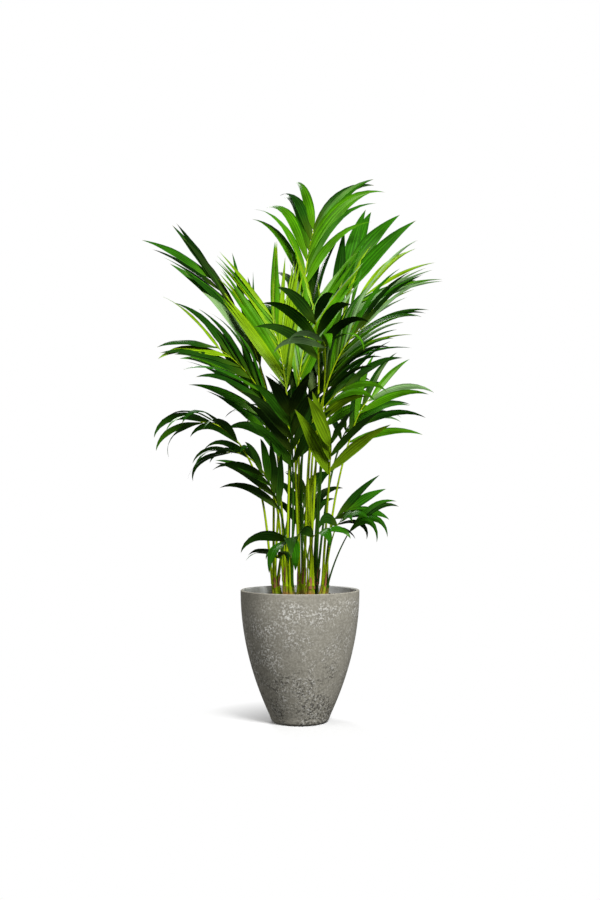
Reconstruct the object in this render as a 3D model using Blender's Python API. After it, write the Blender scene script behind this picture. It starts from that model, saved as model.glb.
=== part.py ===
"""A kentia palm in a tall round planter, in metres, +Z up, origin under the middle of the planter.

Seven young palms share the planter. Each has a short stem that stands on the soil, and the stalks of its
fronds rise from the flat top of the stem in a ring. A large frond is two solids: its stalk, and its blade
with the rib and the leaflets. A frond at the back or near the soil is one solid, stalk and blade together.
A leaflet that would touch another frond tries some other positions, and is left out if none is free.
"""

import math
import random
from collections import namedtuple

import bmesh
import bpy
import numpy as np
from mathutils.bvhtree import BVHTree

# The planter and what fills it
PLANTER_HEIGHT = 0.415
RIM_RADIUS = 0.190
FOOT_RADIUS = 0.087
FOOT_ROUNDING = 0.016
RIM_ROUNDING = 0.0015
WALL = 0.009
FLOOR = 0.014
SOIL_LEVEL = PLANTER_HEIGHT - 0.020
SOIL_EDGE_DROP = 0.006
SOIL_PLATEAU = 0.125
SOIL_CLEARANCE = 0.0015
SEAT_GAP = 0.0003
PLANTER_SIDES = 36

# The stems
STEM_SIDES = 8
STEM_STEPS = 2
STEM_TOP_RADIUS = 0.0145
STEM_FLARE = 0.004
STALK_RING = 0.0088

# The stalks and the ribs, which taper from the stem to the end of the frond
STALK_SIDES = 5
STALK_STEPS = 6
RIB_SIDES = 3
RIB_STEPS = 4
KNEE_SHARE = 0.64
RIB_TIP_SHARE = 0.4
FIRST_LEAFLET = 0.05
LAST_LEAFLET = 0.97
TIP_SPREAD = 18

# The outline and the section of a leaflet
WIDEST_AT = 0.75
BLUNTNESS = 0.95
ROOT_WIDTH = 0.16
THICKNESS_SHARE = 0.0115
FEW_STATIONS = (0.0, 0.30, 0.68, 1.0)
MORE_STATIONS = (0.0, 0.28, 0.58, 0.80, 1.0)
MUCH_BEND = 55
BEND_POWER = 2.0
CURVE_STEPS = 40
CLEARANCE = 0.0016
USUAL_ROLL = 22
WELD = 0.00012

# What a leaflet tries: degrees from the rib, degrees of lift, share of its length
TRIES = (
    (0, 0, 1.0),
    (7, 0, 1.0),
    (-7, 0, 1.0),
    (0, 10, 1.0),
    (0, -10, 1.0),
    (10, 14, 1.0),
    (-10, -14, 1.0),
    (12, -18, 0.95),
    (-12, 20, 0.95),
    (0, 28, 0.9),
    (0, -28, 0.9),
    (-16, 6, 0.8),
    (18, -6, 0.8),
    (0, 16, 0.65),
    (0, -16, 0.65),
    (0, 0, 0.5),
)

# x, y: the middle of the stem on the soil. lean: how far its top stands from there.
Stem = namedtuple("Stem", "name x y height lean_x lean_y")
STEMS = (
    Stem("far_left", -0.072, 0.004, 0.036, -0.006, 0.001),
    Stem("back_left", -0.040, 0.056, 0.042, -0.004, 0.005),
    Stem("front_left", -0.030, -0.046, 0.034, -0.003, -0.004),
    Stem("middle", 0.004, 0.010, 0.045, 0.000, 0.001),
    Stem("front_right", 0.030, -0.054, 0.036, 0.002, -0.005),
    Stem("back_right", 0.044, 0.058, 0.040, 0.004, 0.005),
    Stem("far_right", 0.074, -0.008, 0.034, 0.007, 0.000),
)

# knee: where the stalk ends and the leaflets begin. tip: where the rib ends. leaf, width: the longest leaflet.
# arch: degrees that the rib turns down over its length. face: degrees that the blade is rolled round its rib.
# spread: degrees between the rib and the lowest leaflets of either side. lift: degrees that the leaflets
# stand above the blade. bend: degrees that a leaflet of either side turns down. thick: the stalk's radius.
Frond = namedtuple(
    "Frond",
    "name stem knee tip pairs leaf width arch face spread lift bend thick",
    defaults=(0.0048,),
)
LARGE_FRONDS = (
    Frond("top", 3, (0.012, 0.100, 1.405), (0.048, 0.150, 1.630),
          6, 0.39, 0.036, 5, -20, (18, 30), 0, (58, 58)),
    Frond("bright_left", 2, (-0.042, -0.060, 1.034), (-0.092, 0.000, 1.300),
          7, 0.37, 0.036, 5, 38, (14, 26), 4, (8, 8)),
    Frond("bright_right", 3, (-0.010, -0.020, 1.022), (0.045, 0.060, 1.350),
          7, 0.35, 0.032, 5, -30, (22, 14), 4, (8, 8)),
    Frond("upper_left", 0, (-0.124, 0.010, 1.117), (-0.290, 0.020, 1.430),
          6, 0.33, 0.038, 14, 62, (12, 18), 4, (14, 24)),
    Frond("upper_right", 5, (0.114, 0.090, 1.261), (0.176, 0.160, 1.515),
          3, 0.36, 0.050, 10, -15, (45, 6), 5, (20, 15)),
    Frond("right_pale", 3, (0.072, 0.050, 1.105), (0.225, 0.080, 1.395),
          6, 0.34, 0.026, 20, -60, (34, 16), 6, (30, 30)),
    Frond("right_fan", 4, (0.070, -0.050, 1.013), (0.205, -0.120, 1.245),
          6, 0.33, 0.028, 30, -60, (52, 28), 6, (40, 45)),
    Frond("front", 4, (0.058, -0.135, 1.130), (0.046, -0.225, 1.245),
          3, 0.25, 0.038, 15, 0, (44, 34), 10, (50, 85)),
    Frond("left_mid", 0, (-0.095, -0.060, 0.980), (-0.262, -0.150, 1.175),
          6, 0.30, 0.036, 20, 75, (18, 34), 0, (45, 40)),
    Frond("left_low", 1, (-0.098, 0.040, 0.900), (-0.215, 0.080, 1.125),
          5, 0.27, 0.038, 15, 60, (14, 34), 0, (15, 30)),
    Frond("centre_low", 2, (-0.022, -0.080, 0.795), (-0.030, -0.180, 0.970),
          5, 0.23, 0.038, 20, 0, (42, 25), 10, (30, 30)),
    Frond("left_arch", 0, (-0.188, -0.040, 0.873), (-0.321, -0.080, 0.943),
          4, 0.25, 0.032, 45, 0, (35, 35), 5, (85, 85)),
    Frond("left_hang", 1, (-0.124, 0.030, 0.799), (-0.240, 0.020, 0.854),
          4, 0.21, 0.026, 40, 0, (40, 40), 5, (80, 80)),
    Frond("left_dark", 2, (-0.062, -0.036, 0.663), (-0.120, -0.100, 0.785),
          4, 0.22, 0.026, 20, -30, (40, 18), 5, (55, 35)),
    Frond("right_dark", 3, (0.023, 0.030, 0.962), (0.100, 0.050, 1.150),
          4, 0.20, 0.034, 20, -50, (38, 25), 5, (30, 25)),
    Frond("right_lower", 6, (0.157, 0.040, 0.881), (0.237, 0.060, 1.040),
          4, 0.27, 0.024, 25, -60, (60, 14), 0, (55, 30)),
    Frond("right_inner", 4, (0.050, -0.076, 0.934), (0.140, -0.140, 1.050),
          3, 0.27, 0.026, 20, -60, (45, 14), 0, (60, 40)),
    Frond("right_front", 6, (0.092, -0.100, 0.775), (0.096, -0.160, 0.875),
          3, 0.25, 0.042, 15, 0, (26, 50), 0, (12, 30)),
    Frond("right_back", 5, (0.136, 0.180, 0.889), (0.202, 0.260, 0.988),
          4, 0.26, 0.026, 30, 0, (40, 40), 5, (70, 70)),
)
BACK_FRONDS = (
    Frond("back_high", 1, (-0.030, 0.130, 1.060), (-0.045, 0.235, 1.330),
          5, 0.33, 0.040, 30, 35, (36, 36), 8, (45, 45)),
    Frond("back_left", 1, (-0.080, 0.170, 0.880), (-0.120, 0.340, 1.040),
          5, 0.28, 0.038, 35, 40, (40, 40), 8, (55, 55)),
    Frond("back_right", 5, (0.080, 0.160, 0.940), (0.110, 0.330, 1.140),
          5, 0.30, 0.038, 35, -40, (40, 40), 8, (55, 55)),
    Frond("back_top", 1, (0.040, 0.130, 1.200), (0.030, 0.240, 1.440),
          5, 0.32, 0.036, 20, 60, (30, 30), 5, (35, 35)),
    Frond("back_deep", 0, (-0.010, 0.090, 0.830), (-0.015, 0.190, 1.010),
          4, 0.26, 0.036, 25, -50, (36, 36), 5, (50, 50)),
    Frond("back_low", 5, (0.012, 0.120, 0.580), (0.016, 0.195, 0.730),
          4, 0.21, 0.036, 20, 0, (26, 26), 4, (60, 60)),
)
SMALL_FRONDS = (
    Frond("right_sprig", 6, (0.112, -0.008, 0.640), (0.150, -0.010, 0.668),
          2, 0.19, 0.030, 5, -60, (45, 5), 0, (60, 20), 0.0036),
    Frond("right_arc", 6, (0.155, -0.055, 0.599), (0.177, -0.070, 0.625),
          2, 0.21, 0.024, 5, -45, (25, 5), 5, (115, 90), 0.0032),
    Frond("right_bow", 6, (0.117, -0.055, 0.620), (0.129, -0.065, 0.633),
          2, 0.17, 0.034, 5, 0, (60, 60), 5, (110, 110), 0.0032),
    Frond("front_pale", 3, (0.078, -0.170, 1.165), (0.070, -0.210, 1.185),
          2, 0.19, 0.026, 5, 0, (70, 60), 5, (115, 105), 0.0034),
    Frond("front_bow", 4, (0.040, -0.105, 0.585), (0.058, -0.120, 0.597),
          2, 0.15, 0.034, 5, 0, (60, 60), 5, (100, 100), 0.0032),
    Frond("front_tongue", 2, (-0.034, -0.100, 0.572), (-0.032, -0.130, 0.574),
          2, 0.20, 0.042, 5, 0, (62, 8), 8, (85, 120), 0.0034),
    Frond("left_sprig", 0, (-0.064, -0.040, 0.516), (-0.078, -0.060, 0.528),
          2, 0.13, 0.032, 5, 0, (60, 60), 5, (100, 100), 0.0030),
)
ALL_FRONDS = LARGE_FRONDS + BACK_FRONDS + SMALL_FRONDS
UP = np.array((0.0, 0.0, 1.0))


def material(name, colour, roughness):
    """A plain shader of one colour."""
    made = bpy.data.materials.new(name)
    made.use_nodes = True
    shader = made.node_tree.nodes["Principled BSDF"]
    shader.inputs["Base Color"].default_value = (*colour, 1.0)
    shader.inputs["Roughness"].default_value = roughness
    shader.inputs["Metallic"].default_value = 0.0
    return made


def unit(vector):
    return vector / np.linalg.norm(vector)


def add_object(name, points, faces, finish):
    """A mesh object made of points and faces, linked to the scene."""
    mesh = bpy.data.meshes.new(name)
    mesh.from_pydata([tuple(map(float, point)) for point in points], [], faces)
    mesh.materials.append(finish)
    made = bpy.data.objects.new(name, mesh)
    bpy.context.scene.collection.objects.link(made)
    return made


def smooth(made):
    """Shades round sides smooth and keeps edges sharper than 40 degrees."""
    made.data.shade_smooth()
    made.data.set_sharp_from_angle(angle=math.radians(40))


def side_faces(rings, sides):
    """The quads between rings of points, facing out where the rings run up and round to the left."""
    faces = []
    for ring in range(rings - 1):
        low, high = ring * sides, (ring + 1) * sides
        for i in range(sides):
            j = (i + 1) % sides
            faces.append((low + i, low + j, high + j, high + i))
    return faces


def turned(name, profile, finish):
    """A solid turned round the Z axis. The profile runs from the underside out, up and over, and each of its
    ends is closed with a flat face."""
    angles = 2 * np.pi * np.arange(PLANTER_SIDES) / PLANTER_SIDES
    points = [(r * math.cos(a), r * math.sin(a), z) for r, z in profile for a in angles]
    faces = side_faces(len(profile), PLANTER_SIDES)
    faces.append(tuple(range(PLANTER_SIDES))[::-1])
    faces.append(tuple(range(len(points) - PLANTER_SIDES, len(points))))
    smooth(add_object(name, points, faces, finish))


def planter_radius(z):
    """The planter swells from its foot to an upright rim, as a parabola."""
    return RIM_RADIUS - (RIM_RADIUS - FOOT_RADIUS) * (1 - z / PLANTER_HEIGHT) ** 2


def build_planter(finish):
    """The outer side from the rounded foot to the rim, then the inner side down to the floor."""
    foot = [
        (
            planter_radius(FOOT_ROUNDING) - FOOT_ROUNDING * (1 - math.sin(a)),
            FOOT_ROUNDING * (1 - math.cos(a)),
        )
        for a in np.radians((0, 40, 75))
    ]
    shoulder = PLANTER_HEIGHT - RIM_ROUNDING
    outer = [(planter_radius(z), z) for z in np.linspace(2 * FOOT_ROUNDING, shoulder, 8)]
    rim = [
        (RIM_RADIUS - RIM_ROUNDING, PLANTER_HEIGHT),
        (RIM_RADIUS - WALL + RIM_ROUNDING, PLANTER_HEIGHT),
    ]
    inner = [(planter_radius(z) - WALL, z) for z in np.linspace(shoulder, FLOOR, 7)]
    turned("planter", foot + outer + rim + inner, finish)


def build_soil(finish):
    """The soil fills the planter, with a flat middle that the stems stand on."""
    heights = np.linspace(FLOOR + SEAT_GAP, SOIL_LEVEL - SOIL_EDGE_DROP, 7)
    side = [(planter_radius(z) - WALL - SOIL_CLEARANCE, z) for z in heights]
    turned("soil", side + [(SOIL_PLATEAU, SOIL_LEVEL)], finish)


def tube(path, ways, radii, sides):
    """Points and faces of a closed tube. Each ring stands across its way."""
    across = unit(np.cross(ways[0], (0.37, -0.91, 0.11)))
    angles = 2 * np.pi * np.arange(sides) / sides
    points = []
    for middle, way, radius in zip(path, ways, radii):
        across = unit(across - way * np.dot(across, way))
        other = np.cross(way, across)
        points += [middle + radius * (across * math.cos(a) + other * math.sin(a)) for a in angles]
    faces = side_faces(len(path), sides)
    faces.append(tuple(range(sides))[::-1])
    faces.append(tuple(range(len(points) - sides, len(points))))
    return points, faces


def stem_top(stem):
    return np.array((stem.x + stem.lean_x, stem.y + stem.lean_y, SOIL_LEVEL + SEAT_GAP + stem.height))


def stem_solid(stem):
    """A short stem, wider at the soil, whose two ends are flat and level."""
    share = np.linspace(0, 1, STEM_STEPS + 1)
    foot = np.array((stem.x, stem.y, SOIL_LEVEL + SEAT_GAP))
    path = foot + share[:, None] * (stem_top(stem) - foot)
    return tube(path, [UP] * len(path), STEM_TOP_RADIUS + STEM_FLARE * (1 - share) ** 2, STEM_SIDES)


def stalk_foot(frond):
    """Where a stalk leaves its stem: the stalks of one stem stand in a ring, in the order of their headings."""
    top = stem_top(STEMS[frond.stem])
    mates = [mate for mate in ALL_FRONDS if mate.stem == frond.stem]
    heading = {mate.name: math.atan2(mate.knee[1] - top[1], mate.knee[0] - top[0]) for mate in mates}
    order = sorted(mates, key=lambda mate: heading[mate.name])
    step = 2 * math.pi / len(order)
    turn = sum(heading[mate.name] - i * step for i, mate in enumerate(order)) / len(order)
    angle = turn + order.index(frond) * step
    return top + np.array((STALK_RING * math.cos(angle), STALK_RING * math.sin(angle), SEAT_GAP))


def hermite(start, end, start_pull, end_pull, share):
    """A smooth curve between two points that leaves and arrives along the two pulls."""
    t = np.asarray(share, float)[:, None]
    return (
        (2 * t**3 - 3 * t**2 + 1) * start
        + (t**3 - 2 * t**2 + t) * start_pull
        + (3 * t**2 - 2 * t**3) * end
        + (t**3 - t**2) * end_pull
    )


def frond_lines(frond):
    """The stalk's and the rib's middle lines as functions of 0 to 1, and the way they run at the knee."""
    foot, knee, tip = stalk_foot(frond), np.array(frond.knee), np.array(frond.tip)
    stalk_length, rib_length = np.linalg.norm(knee - foot), np.linalg.norm(tip - knee)
    stalk_way, rib_way = unit(knee - foot), unit(tip - knee)
    leaving = unit(stalk_way + 0.6 * UP)
    knee_way = unit(1.2 * stalk_way + rib_way)
    down = unit(-UP + rib_way * np.dot(rib_way, UP))
    turn = math.radians(frond.arch)
    ending = rib_way * math.cos(turn) + down * math.sin(turn)
    return (
        lambda share: hermite(foot, knee, leaving * stalk_length, knee_way * stalk_length, share),
        lambda share: hermite(knee, tip, knee_way * rib_length, ending * rib_length, share),
        knee_way,
    )


def stalk_radii(frond, share):
    return frond.thick * (1 - (1 - KNEE_SHARE) * share)


def rib_radii(frond, share):
    return frond.thick * KNEE_SHARE * (1 - (1 - RIB_TIP_SHARE) * share)


def stalk_solid(frond):
    """The stalk, from a level foot on its stem to the knee."""
    stalk, _, knee_way = frond_lines(frond)
    share = np.linspace(0, 1, STALK_STEPS + 1)
    path = stalk(share)
    ways = [unit(way) for way in np.gradient(path, axis=0)]
    ways[0], ways[-1] = UP, knee_way
    return tube(path, ways, stalk_radii(frond, share), STALK_SIDES)


def rib_solid(frond):
    """The rib, from just above the knee to the end of the frond."""
    _, rib, knee_way = frond_lines(frond)
    share = np.linspace(0, 1, RIB_STEPS + 1)
    path = rib(share)
    path[0] += knee_way * SEAT_GAP
    ways = [unit(way) for way in np.gradient(path, axis=0)]
    ways[0] = knee_way
    return tube(path, ways, rib_radii(frond, share), RIB_SIDES)


def whole_solid(frond):
    """The stalk and the rib of a small frond as one tube."""
    stalk, rib, _ = frond_lines(frond)
    stalk_share = np.linspace(0, 1, STALK_STEPS + 1)
    rib_share = np.linspace(0, 1, RIB_STEPS + 1)[1:]
    path = np.concatenate([stalk(stalk_share), rib(rib_share)])
    ways = [unit(way) for way in np.gradient(path, axis=0)]
    ways[0] = UP
    radii = np.concatenate([stalk_radii(frond, stalk_share), rib_radii(frond, rib_share)])
    return tube(path, ways, radii, RIB_SIDES)


def rib_frame(frond, share):
    """The point on the rib, its way, the side and the upper normal of the blade, at a share of the rib."""
    _, rib, _ = frond_lines(frond)
    back, ahead = rib([share - 0.01, share + 0.01])
    way = unit(ahead - back)
    rings = np.linspace(0, 1, RIB_STEPS + 1)
    point = np.array([np.interp(share, rings, line) for line in rib(rings).T])
    run = np.array(frond.tip) - np.array(frond.knee)
    side = np.cross((run[0], run[1], 0.0), UP)
    side = unit(side - way * np.dot(side, way))
    normal = np.cross(side, way)
    roll = math.radians(frond.face)
    rolled = side * math.cos(roll) + normal * math.sin(roll)
    return point, way, rolled, np.cross(rolled, way)


def plan_leaflets(frond):
    """One row for each leaflet of a frond, from the knee to the end, with small seeded differences."""
    chance = random.Random(frond.name)
    rows = []
    for number in range(frond.pairs):
        for hand in (1, -1):
            even = (number + (0.25 if hand < 0 else 0.0)) / (frond.pairs - 0.75)
            share = FIRST_LEAFLET + (LAST_LEAFLET - FIRST_LEAFLET) * even
            longest = 0.78 + 0.22 * math.sin(math.pi * (0.25 + 0.75 * share))
            spread = frond.spread[hand < 0]
            rows.append(
                {
                    "frame": rib_frame(frond, share),
                    "hand": hand,
                    "angle": spread + (min(TIP_SPREAD, spread) - spread) * share + chance.uniform(-4, 4),
                    "lift": frond.lift * (1.2 - 0.6 * share) + chance.uniform(-7, 7),
                    "length": frond.leaf * longest * chance.uniform(0.9, 1.05),
                    "bend": frond.bend[hand < 0] * chance.uniform(0.7, 1.3),
                    "roll": hand * (USUAL_ROLL + chance.uniform(-16, 16)),
                    "twist": chance.uniform(-35, 35),
                    "width": frond.width * chance.uniform(0.86, 1.08),
                }
            )
    return rows


def leaflet_frames(plan, change, stations):
    """A leaflet's middle points, its ways across and its upper normals at some shares of its length. It leaves
    the rib at an angle and turns down in an upright plane, faster towards its tip, and it twists evenly."""
    point, way, side, normal = plan["frame"]
    angle = math.radians(plan["angle"] + change[0])
    lift = math.radians(plan["lift"] + change[1])
    outward = plan["hand"] * side * math.cos(lift) + normal * math.sin(lift)
    start = unit(way * math.cos(angle) + outward * math.sin(angle))
    down = unit(-UP + start * np.dot(start, UP))
    level = np.cross(start, down)
    across = unit(way - start * np.dot(way, start))
    grid = np.linspace(0, 1, CURVE_STEPS + 1)
    turn = math.radians(plan["bend"]) * grid**BEND_POWER
    ran = np.concatenate([[0], np.cumsum(np.cos((turn[1:] + turn[:-1]) / 2))]) / CURVE_STEPS
    fell = np.concatenate([[0], np.cumsum(np.sin((turn[1:] + turn[:-1]) / 2))]) / CURVE_STEPS
    ran, fell, turn = (np.interp(stations, grid, line)[:, None] for line in (ran, fell, turn))
    length = plan["length"] * change[2]
    middle = point + length * (ran * start + fell * down)
    now = start * np.cos(turn) + down * np.sin(turn)
    inward = down * np.cos(turn) - start * np.sin(turn)
    wide = np.dot(across, level) * level + np.dot(across, down) * inward
    upper = plan["hand"] * np.cross(now, wide)
    twist = np.radians(plan["roll"] + plan["twist"] * np.asarray(stations))[:, None]
    return middle, wide * np.cos(twist) + upper * np.sin(twist), upper * np.cos(twist) - wide * np.sin(twist)


def leaflet_half_width(stations, width):
    """The outline: narrow at the root, widest before the middle, drawn out to a point."""
    u = np.asarray(stations, float)
    swell = np.sin(np.pi * u**WIDEST_AT).clip(0) ** BLUNTNESS
    return width / 2 * np.maximum(swell, ROOT_WIDTH * (1 - u) ** 2)


def split_outward(points, quads):
    """Two triangles for each quad, split on the diagonal that makes a twisted quad bulge out."""
    a, b, c, d = points[quads].transpose(1, 0, 2)
    hollow = (np.cross(b - a, c - a) * (d - a)).sum(axis=1) > 0
    quads = np.where(hollow[:, None], np.roll(quads, 1, axis=1), quads).tolist()
    return [face for i, j, k, m in quads for face in ((i, j, k), (i, k, m))]


def leaflet_solid(plan, change, grow=0.0):
    """Points and faces of a thin three-sided blade that ends in a point: two edges and a ridge above."""
    stations = MORE_STATIONS if plan["bend"] > MUCH_BEND else FEW_STATIONS
    middle, wide, upper = leaflet_frames(plan, change, stations)
    half = leaflet_half_width(stations, plan["width"])[:, None]
    rise = THICKNESS_SHARE * plan["length"] * np.maximum(2 * half / plan["width"], 0.5)
    left = middle - wide * (half + grow) - upper * grow
    right = middle + wide * (half + grow) - upper * grow
    ridge = middle + upper * (rise + grow)
    points = np.stack([left[:-1], right[:-1], ridge[:-1]], axis=1).reshape(-1, 3)
    points = np.concatenate([points, middle[-1:]])
    tip = len(points) - 1
    ends = [(tip - 3 + i, tip - 3 + (i + 1) % 3, tip) for i in range(3)] + [(2, 1, 0)]
    quads = np.array(side_faces(len(stations) - 1, 3))
    if plan["hand"] < 0:
        ends = [face[::-1] for face in ends]
        quads = quads[:, ::-1]
    return points, split_outward(points, quads) + ends


class Space:
    """What already stands in the crown, so that a new piece can be kept clear of it."""

    def __init__(self):
        self.low, self.high, self.trees, self.owners = [], [], [], []

    def add(self, solid, owner):
        points, faces = solid
        self.low.append(np.min(points, axis=0))
        self.high.append(np.max(points, axis=0))
        self.trees.append(BVHTree.FromPolygons([tuple(point) for point in points], faces))
        self.owners.append(owner)

    def is_free(self, solid, owner):
        """Whether the solid meets nothing but its own frond."""
        points, faces = solid
        low, high = np.min(points, axis=0), np.max(points, axis=0)
        near = np.all((np.array(self.low) <= high) & (np.array(self.high) >= low), axis=1)
        tree = BVHTree.FromPolygons([tuple(point) for point in points], faces)
        return not any(self.owners[i] != owner and self.trees[i].overlap(tree) for i in np.flatnonzero(near))


def fuse(body, pieces):
    """Joins the pieces to the body with one Boolean union, and removes them."""
    group = bpy.data.collections.new("to_fuse")
    for piece in pieces:
        bpy.context.scene.collection.objects.unlink(piece)
        group.objects.link(piece)
    join = body.modifiers.new("join", "BOOLEAN")
    join.operation = "UNION"
    join.operand_type = "COLLECTION"
    join.collection = group
    join.solver = "MANIFOLD"
    graph = bpy.context.evaluated_depsgraph_get()
    joined = bpy.data.meshes.new_from_object(body.evaluated_get(graph))
    body.modifiers.remove(join)
    weld(joined)
    body.data = joined
    for piece in pieces:
        bpy.data.objects.remove(piece)
    bpy.data.collections.remove(group)


def neighbours(vert):
    return {edge.other_vert(vert) for edge in vert.link_edges}


def weld(mesh):
    """Collapses each edge shorter than WELD that a union leaves, where the surface stays closed round it."""
    work = bmesh.new()
    work.from_mesh(mesh)
    bmesh.ops.triangulate(work, faces=work.faces)
    short = True
    while short:
        near = [edge for edge in work.edges if edge.calc_length() < WELD]
        free = (edge for edge in near if len(neighbours(edge.verts[0]) & neighbours(edge.verts[1])) == 2)
        short = next(free, None)
        if short:
            bmesh.ops.collapse(work, edges=[short])
    work.to_mesh(mesh)
    work.free()


def build_blade(frond, space, finish):
    """The rib with its leaflets fused on. A small frond's stalk is part of it."""
    leaflets = []
    for plan in plan_leaflets(frond):
        for change in TRIES:
            if space.is_free(leaflet_solid(plan, change, CLEARANCE), frond.name):
                leaflets.append(leaflet_solid(plan, change))
                space.add(leaflets[-1], frond.name)
                break
    body = rib_solid(frond) if frond in LARGE_FRONDS else whole_solid(frond)
    made = add_object("frond_" + frond.name, *body, finish)
    fuse(made, [add_object("leaflet", *leaflet, finish) for leaflet in leaflets])


def main():
    for old in list(bpy.data.objects):
        bpy.data.objects.remove(old)
    build_planter(material("stone_grey", (0.30, 0.285, 0.26), 0.85))
    build_soil(material("dark_soil", (0.035, 0.022, 0.014), 0.95))
    fibre = material("brown_fibre", (0.16, 0.10, 0.05), 0.8)
    stalk_green = material("stalk_green", (0.20, 0.33, 0.03), 0.45)
    leaf_green = material("leaf_green", (0.045, 0.16, 0.015), 0.4)
    space = Space()
    for stem in STEMS:
        space.add(stem_solid(stem), stem.name)
        smooth(add_object("stem_" + stem.name, *stem_solid(stem), fibre))
    for frond in ALL_FRONDS:
        for solid in (stalk_solid(frond), rib_solid(frond)):
            if not space.is_free(solid, frond.name):
                raise ValueError(f"The stalk or rib of {frond.name} meets another piece")
            space.add(solid, frond.name)
    for frond in LARGE_FRONDS:
        smooth(add_object("stalk_" + frond.name, *stalk_solid(frond), stalk_green))
    for frond in ALL_FRONDS:
        build_blade(frond, space, leaf_green)


if __name__ == "__main__":
    main()
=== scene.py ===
"""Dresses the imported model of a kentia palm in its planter, in metres, +Z up, in the model's own frame.

The palm's sizes are the solids' sizes: seven short stems on the soil, and 32 fronds whose leaflets stand
where the solids' leaflets stand. Every leaflet, stalk, sheath and crumb is a surface worked out from those
sizes.
"""

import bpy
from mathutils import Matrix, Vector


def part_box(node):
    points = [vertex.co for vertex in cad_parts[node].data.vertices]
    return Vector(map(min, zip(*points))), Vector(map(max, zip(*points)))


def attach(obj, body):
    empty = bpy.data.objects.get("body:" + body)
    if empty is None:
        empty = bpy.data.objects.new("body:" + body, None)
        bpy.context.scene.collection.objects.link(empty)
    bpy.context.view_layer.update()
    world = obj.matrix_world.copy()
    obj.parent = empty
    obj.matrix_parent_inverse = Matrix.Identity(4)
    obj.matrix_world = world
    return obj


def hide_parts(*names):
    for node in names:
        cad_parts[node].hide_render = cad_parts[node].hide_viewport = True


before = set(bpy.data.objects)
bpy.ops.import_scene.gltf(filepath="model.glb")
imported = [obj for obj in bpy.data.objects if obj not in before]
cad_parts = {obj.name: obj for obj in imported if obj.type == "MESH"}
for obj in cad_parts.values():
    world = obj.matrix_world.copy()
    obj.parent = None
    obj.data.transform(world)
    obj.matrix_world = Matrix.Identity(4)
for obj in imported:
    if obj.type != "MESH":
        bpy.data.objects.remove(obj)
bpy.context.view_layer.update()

import math
import random
from collections import namedtuple
from functools import partial
from itertools import combinations

import bpy
import numpy as np
from bpy.props import FloatProperty, FloatVectorProperty, IntProperty, PointerProperty
from mathutils import Vector
from mathutils.bvhtree import BVHTree

bl_info = {
    "name": "Kentia palm in a planter",
    "version": (1, 0, 0),
    "blender": (4, 5, 0),
    "location": "View3D > Sidebar > Palm",
    "description": "Builds a potted kentia palm, its finishes and a studio round it",
    "category": "Object",
}

UP = np.array((0.0, 0.0, 1.0))
PLANTER_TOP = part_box("planter")[1][2]

# The solids' own sizes, which the finer surfaces follow
PLANTER_HEIGHT = 0.415
RIM_RADIUS = 0.190
FOOT_RADIUS = 0.087
FOOT_ROUNDING = 0.016
WALL = 0.009
FLOOR = 0.014
SOIL_LEVEL = PLANTER_HEIGHT - 0.020
SOIL_EDGE_DROP = 0.006
SOIL_PLATEAU = 0.125
SOIL_CLEARANCE = 0.0015
SEAT_GAP = 0.0003
STEM_SIDES = 8
STEM_STEPS = 2
STEM_TOP_RADIUS = 0.0145
STEM_FLARE = 0.004
STALK_RING = 0.0088
STALK_SIDES = 5
STALK_STEPS = 6
RIB_SIDES = 3
RIB_STEPS = 4
KNEE_SHARE = 0.64
RIB_TIP_SHARE = 0.4
FIRST_LEAFLET = 0.05
LAST_LEAFLET = 0.97
TIP_SPREAD = 18
WIDEST_AT = 0.75
BLUNTNESS = 0.95
ROOT_WIDTH = 0.16
THICKNESS_SHARE = 0.0115
FEW_STATIONS = (0.0, 0.30, 0.68, 1.0)
MORE_STATIONS = (0.0, 0.28, 0.58, 0.80, 1.0)
MUCH_BEND = 55
BEND_POWER = 2.0
CURVE_STEPS = 40
CLEARANCE = 0.0016
USUAL_ROLL = 22

# How finely the scene's own surfaces are divided
FOOT_RINGS = 8
WALL_RINGS = 60
RIM_RINGS = 6
INSIDE_RINGS = 24
SOIL_SIDES = 160
SOIL_SIDE_RINGS = 16
SOIL_TOP_RINGS = 56
STEM_RINGS = 15
SHEATH_GRID = (9, 13)
STALK_RINGS = 33
RIB_RINGS = 17

# How far the crumbs stay from the planter's wall, and the share of them as dark as the soil
CRUMB_MARGIN = 0.008
DARK_CRUMBS = 0.6

# How far a sheath stands off its stalk, and how far under the stalk's foot it begins
SHEATH_GAP = 0.0022
SHEATH_DROP = 0.010

# Heights between which a finish changes: under the planter's smooth rim band, towards its foot and, with the
# blotches taken off, up the stalks' dry bases. The floor's finish changes by how far a point is from the
# planter's axis.
BAND_FADE = (PLANTER_HEIGHT - 0.012, PLANTER_HEIGHT - 0.028)
FOOT_FADE = (0.30, 0.08)
DRY_FADE = (0.342, 0.364)
FLOOR_FADE = (0.09, 0.36)

WHITE = (1.0, 1.0, 1.0, 1.0)
# The tint of what the leaves and stalks mirror, a leaflet's yellow root and its dry point
GREEN_SHEEN = (0.7, 1.0, 0.35, 1.0)
ROOT_YELLOW = (0.20, 0.34, 0.01)
DRY_POINT = (0.20, 0.15, 0.05)

# Each light's place and the width of its square, and the point that they all shine on
LIGHTS = {
    "key": ((1.5, -2.8, 3.3), 1.3),
    "fill": ((-2.6, -1.6, 1.8), 1.6),
    "back": ((-1.2, 2.6, 3.2), 1.4),
}
CROWN_MIDDLE = (0, 0, 0.9)

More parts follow.
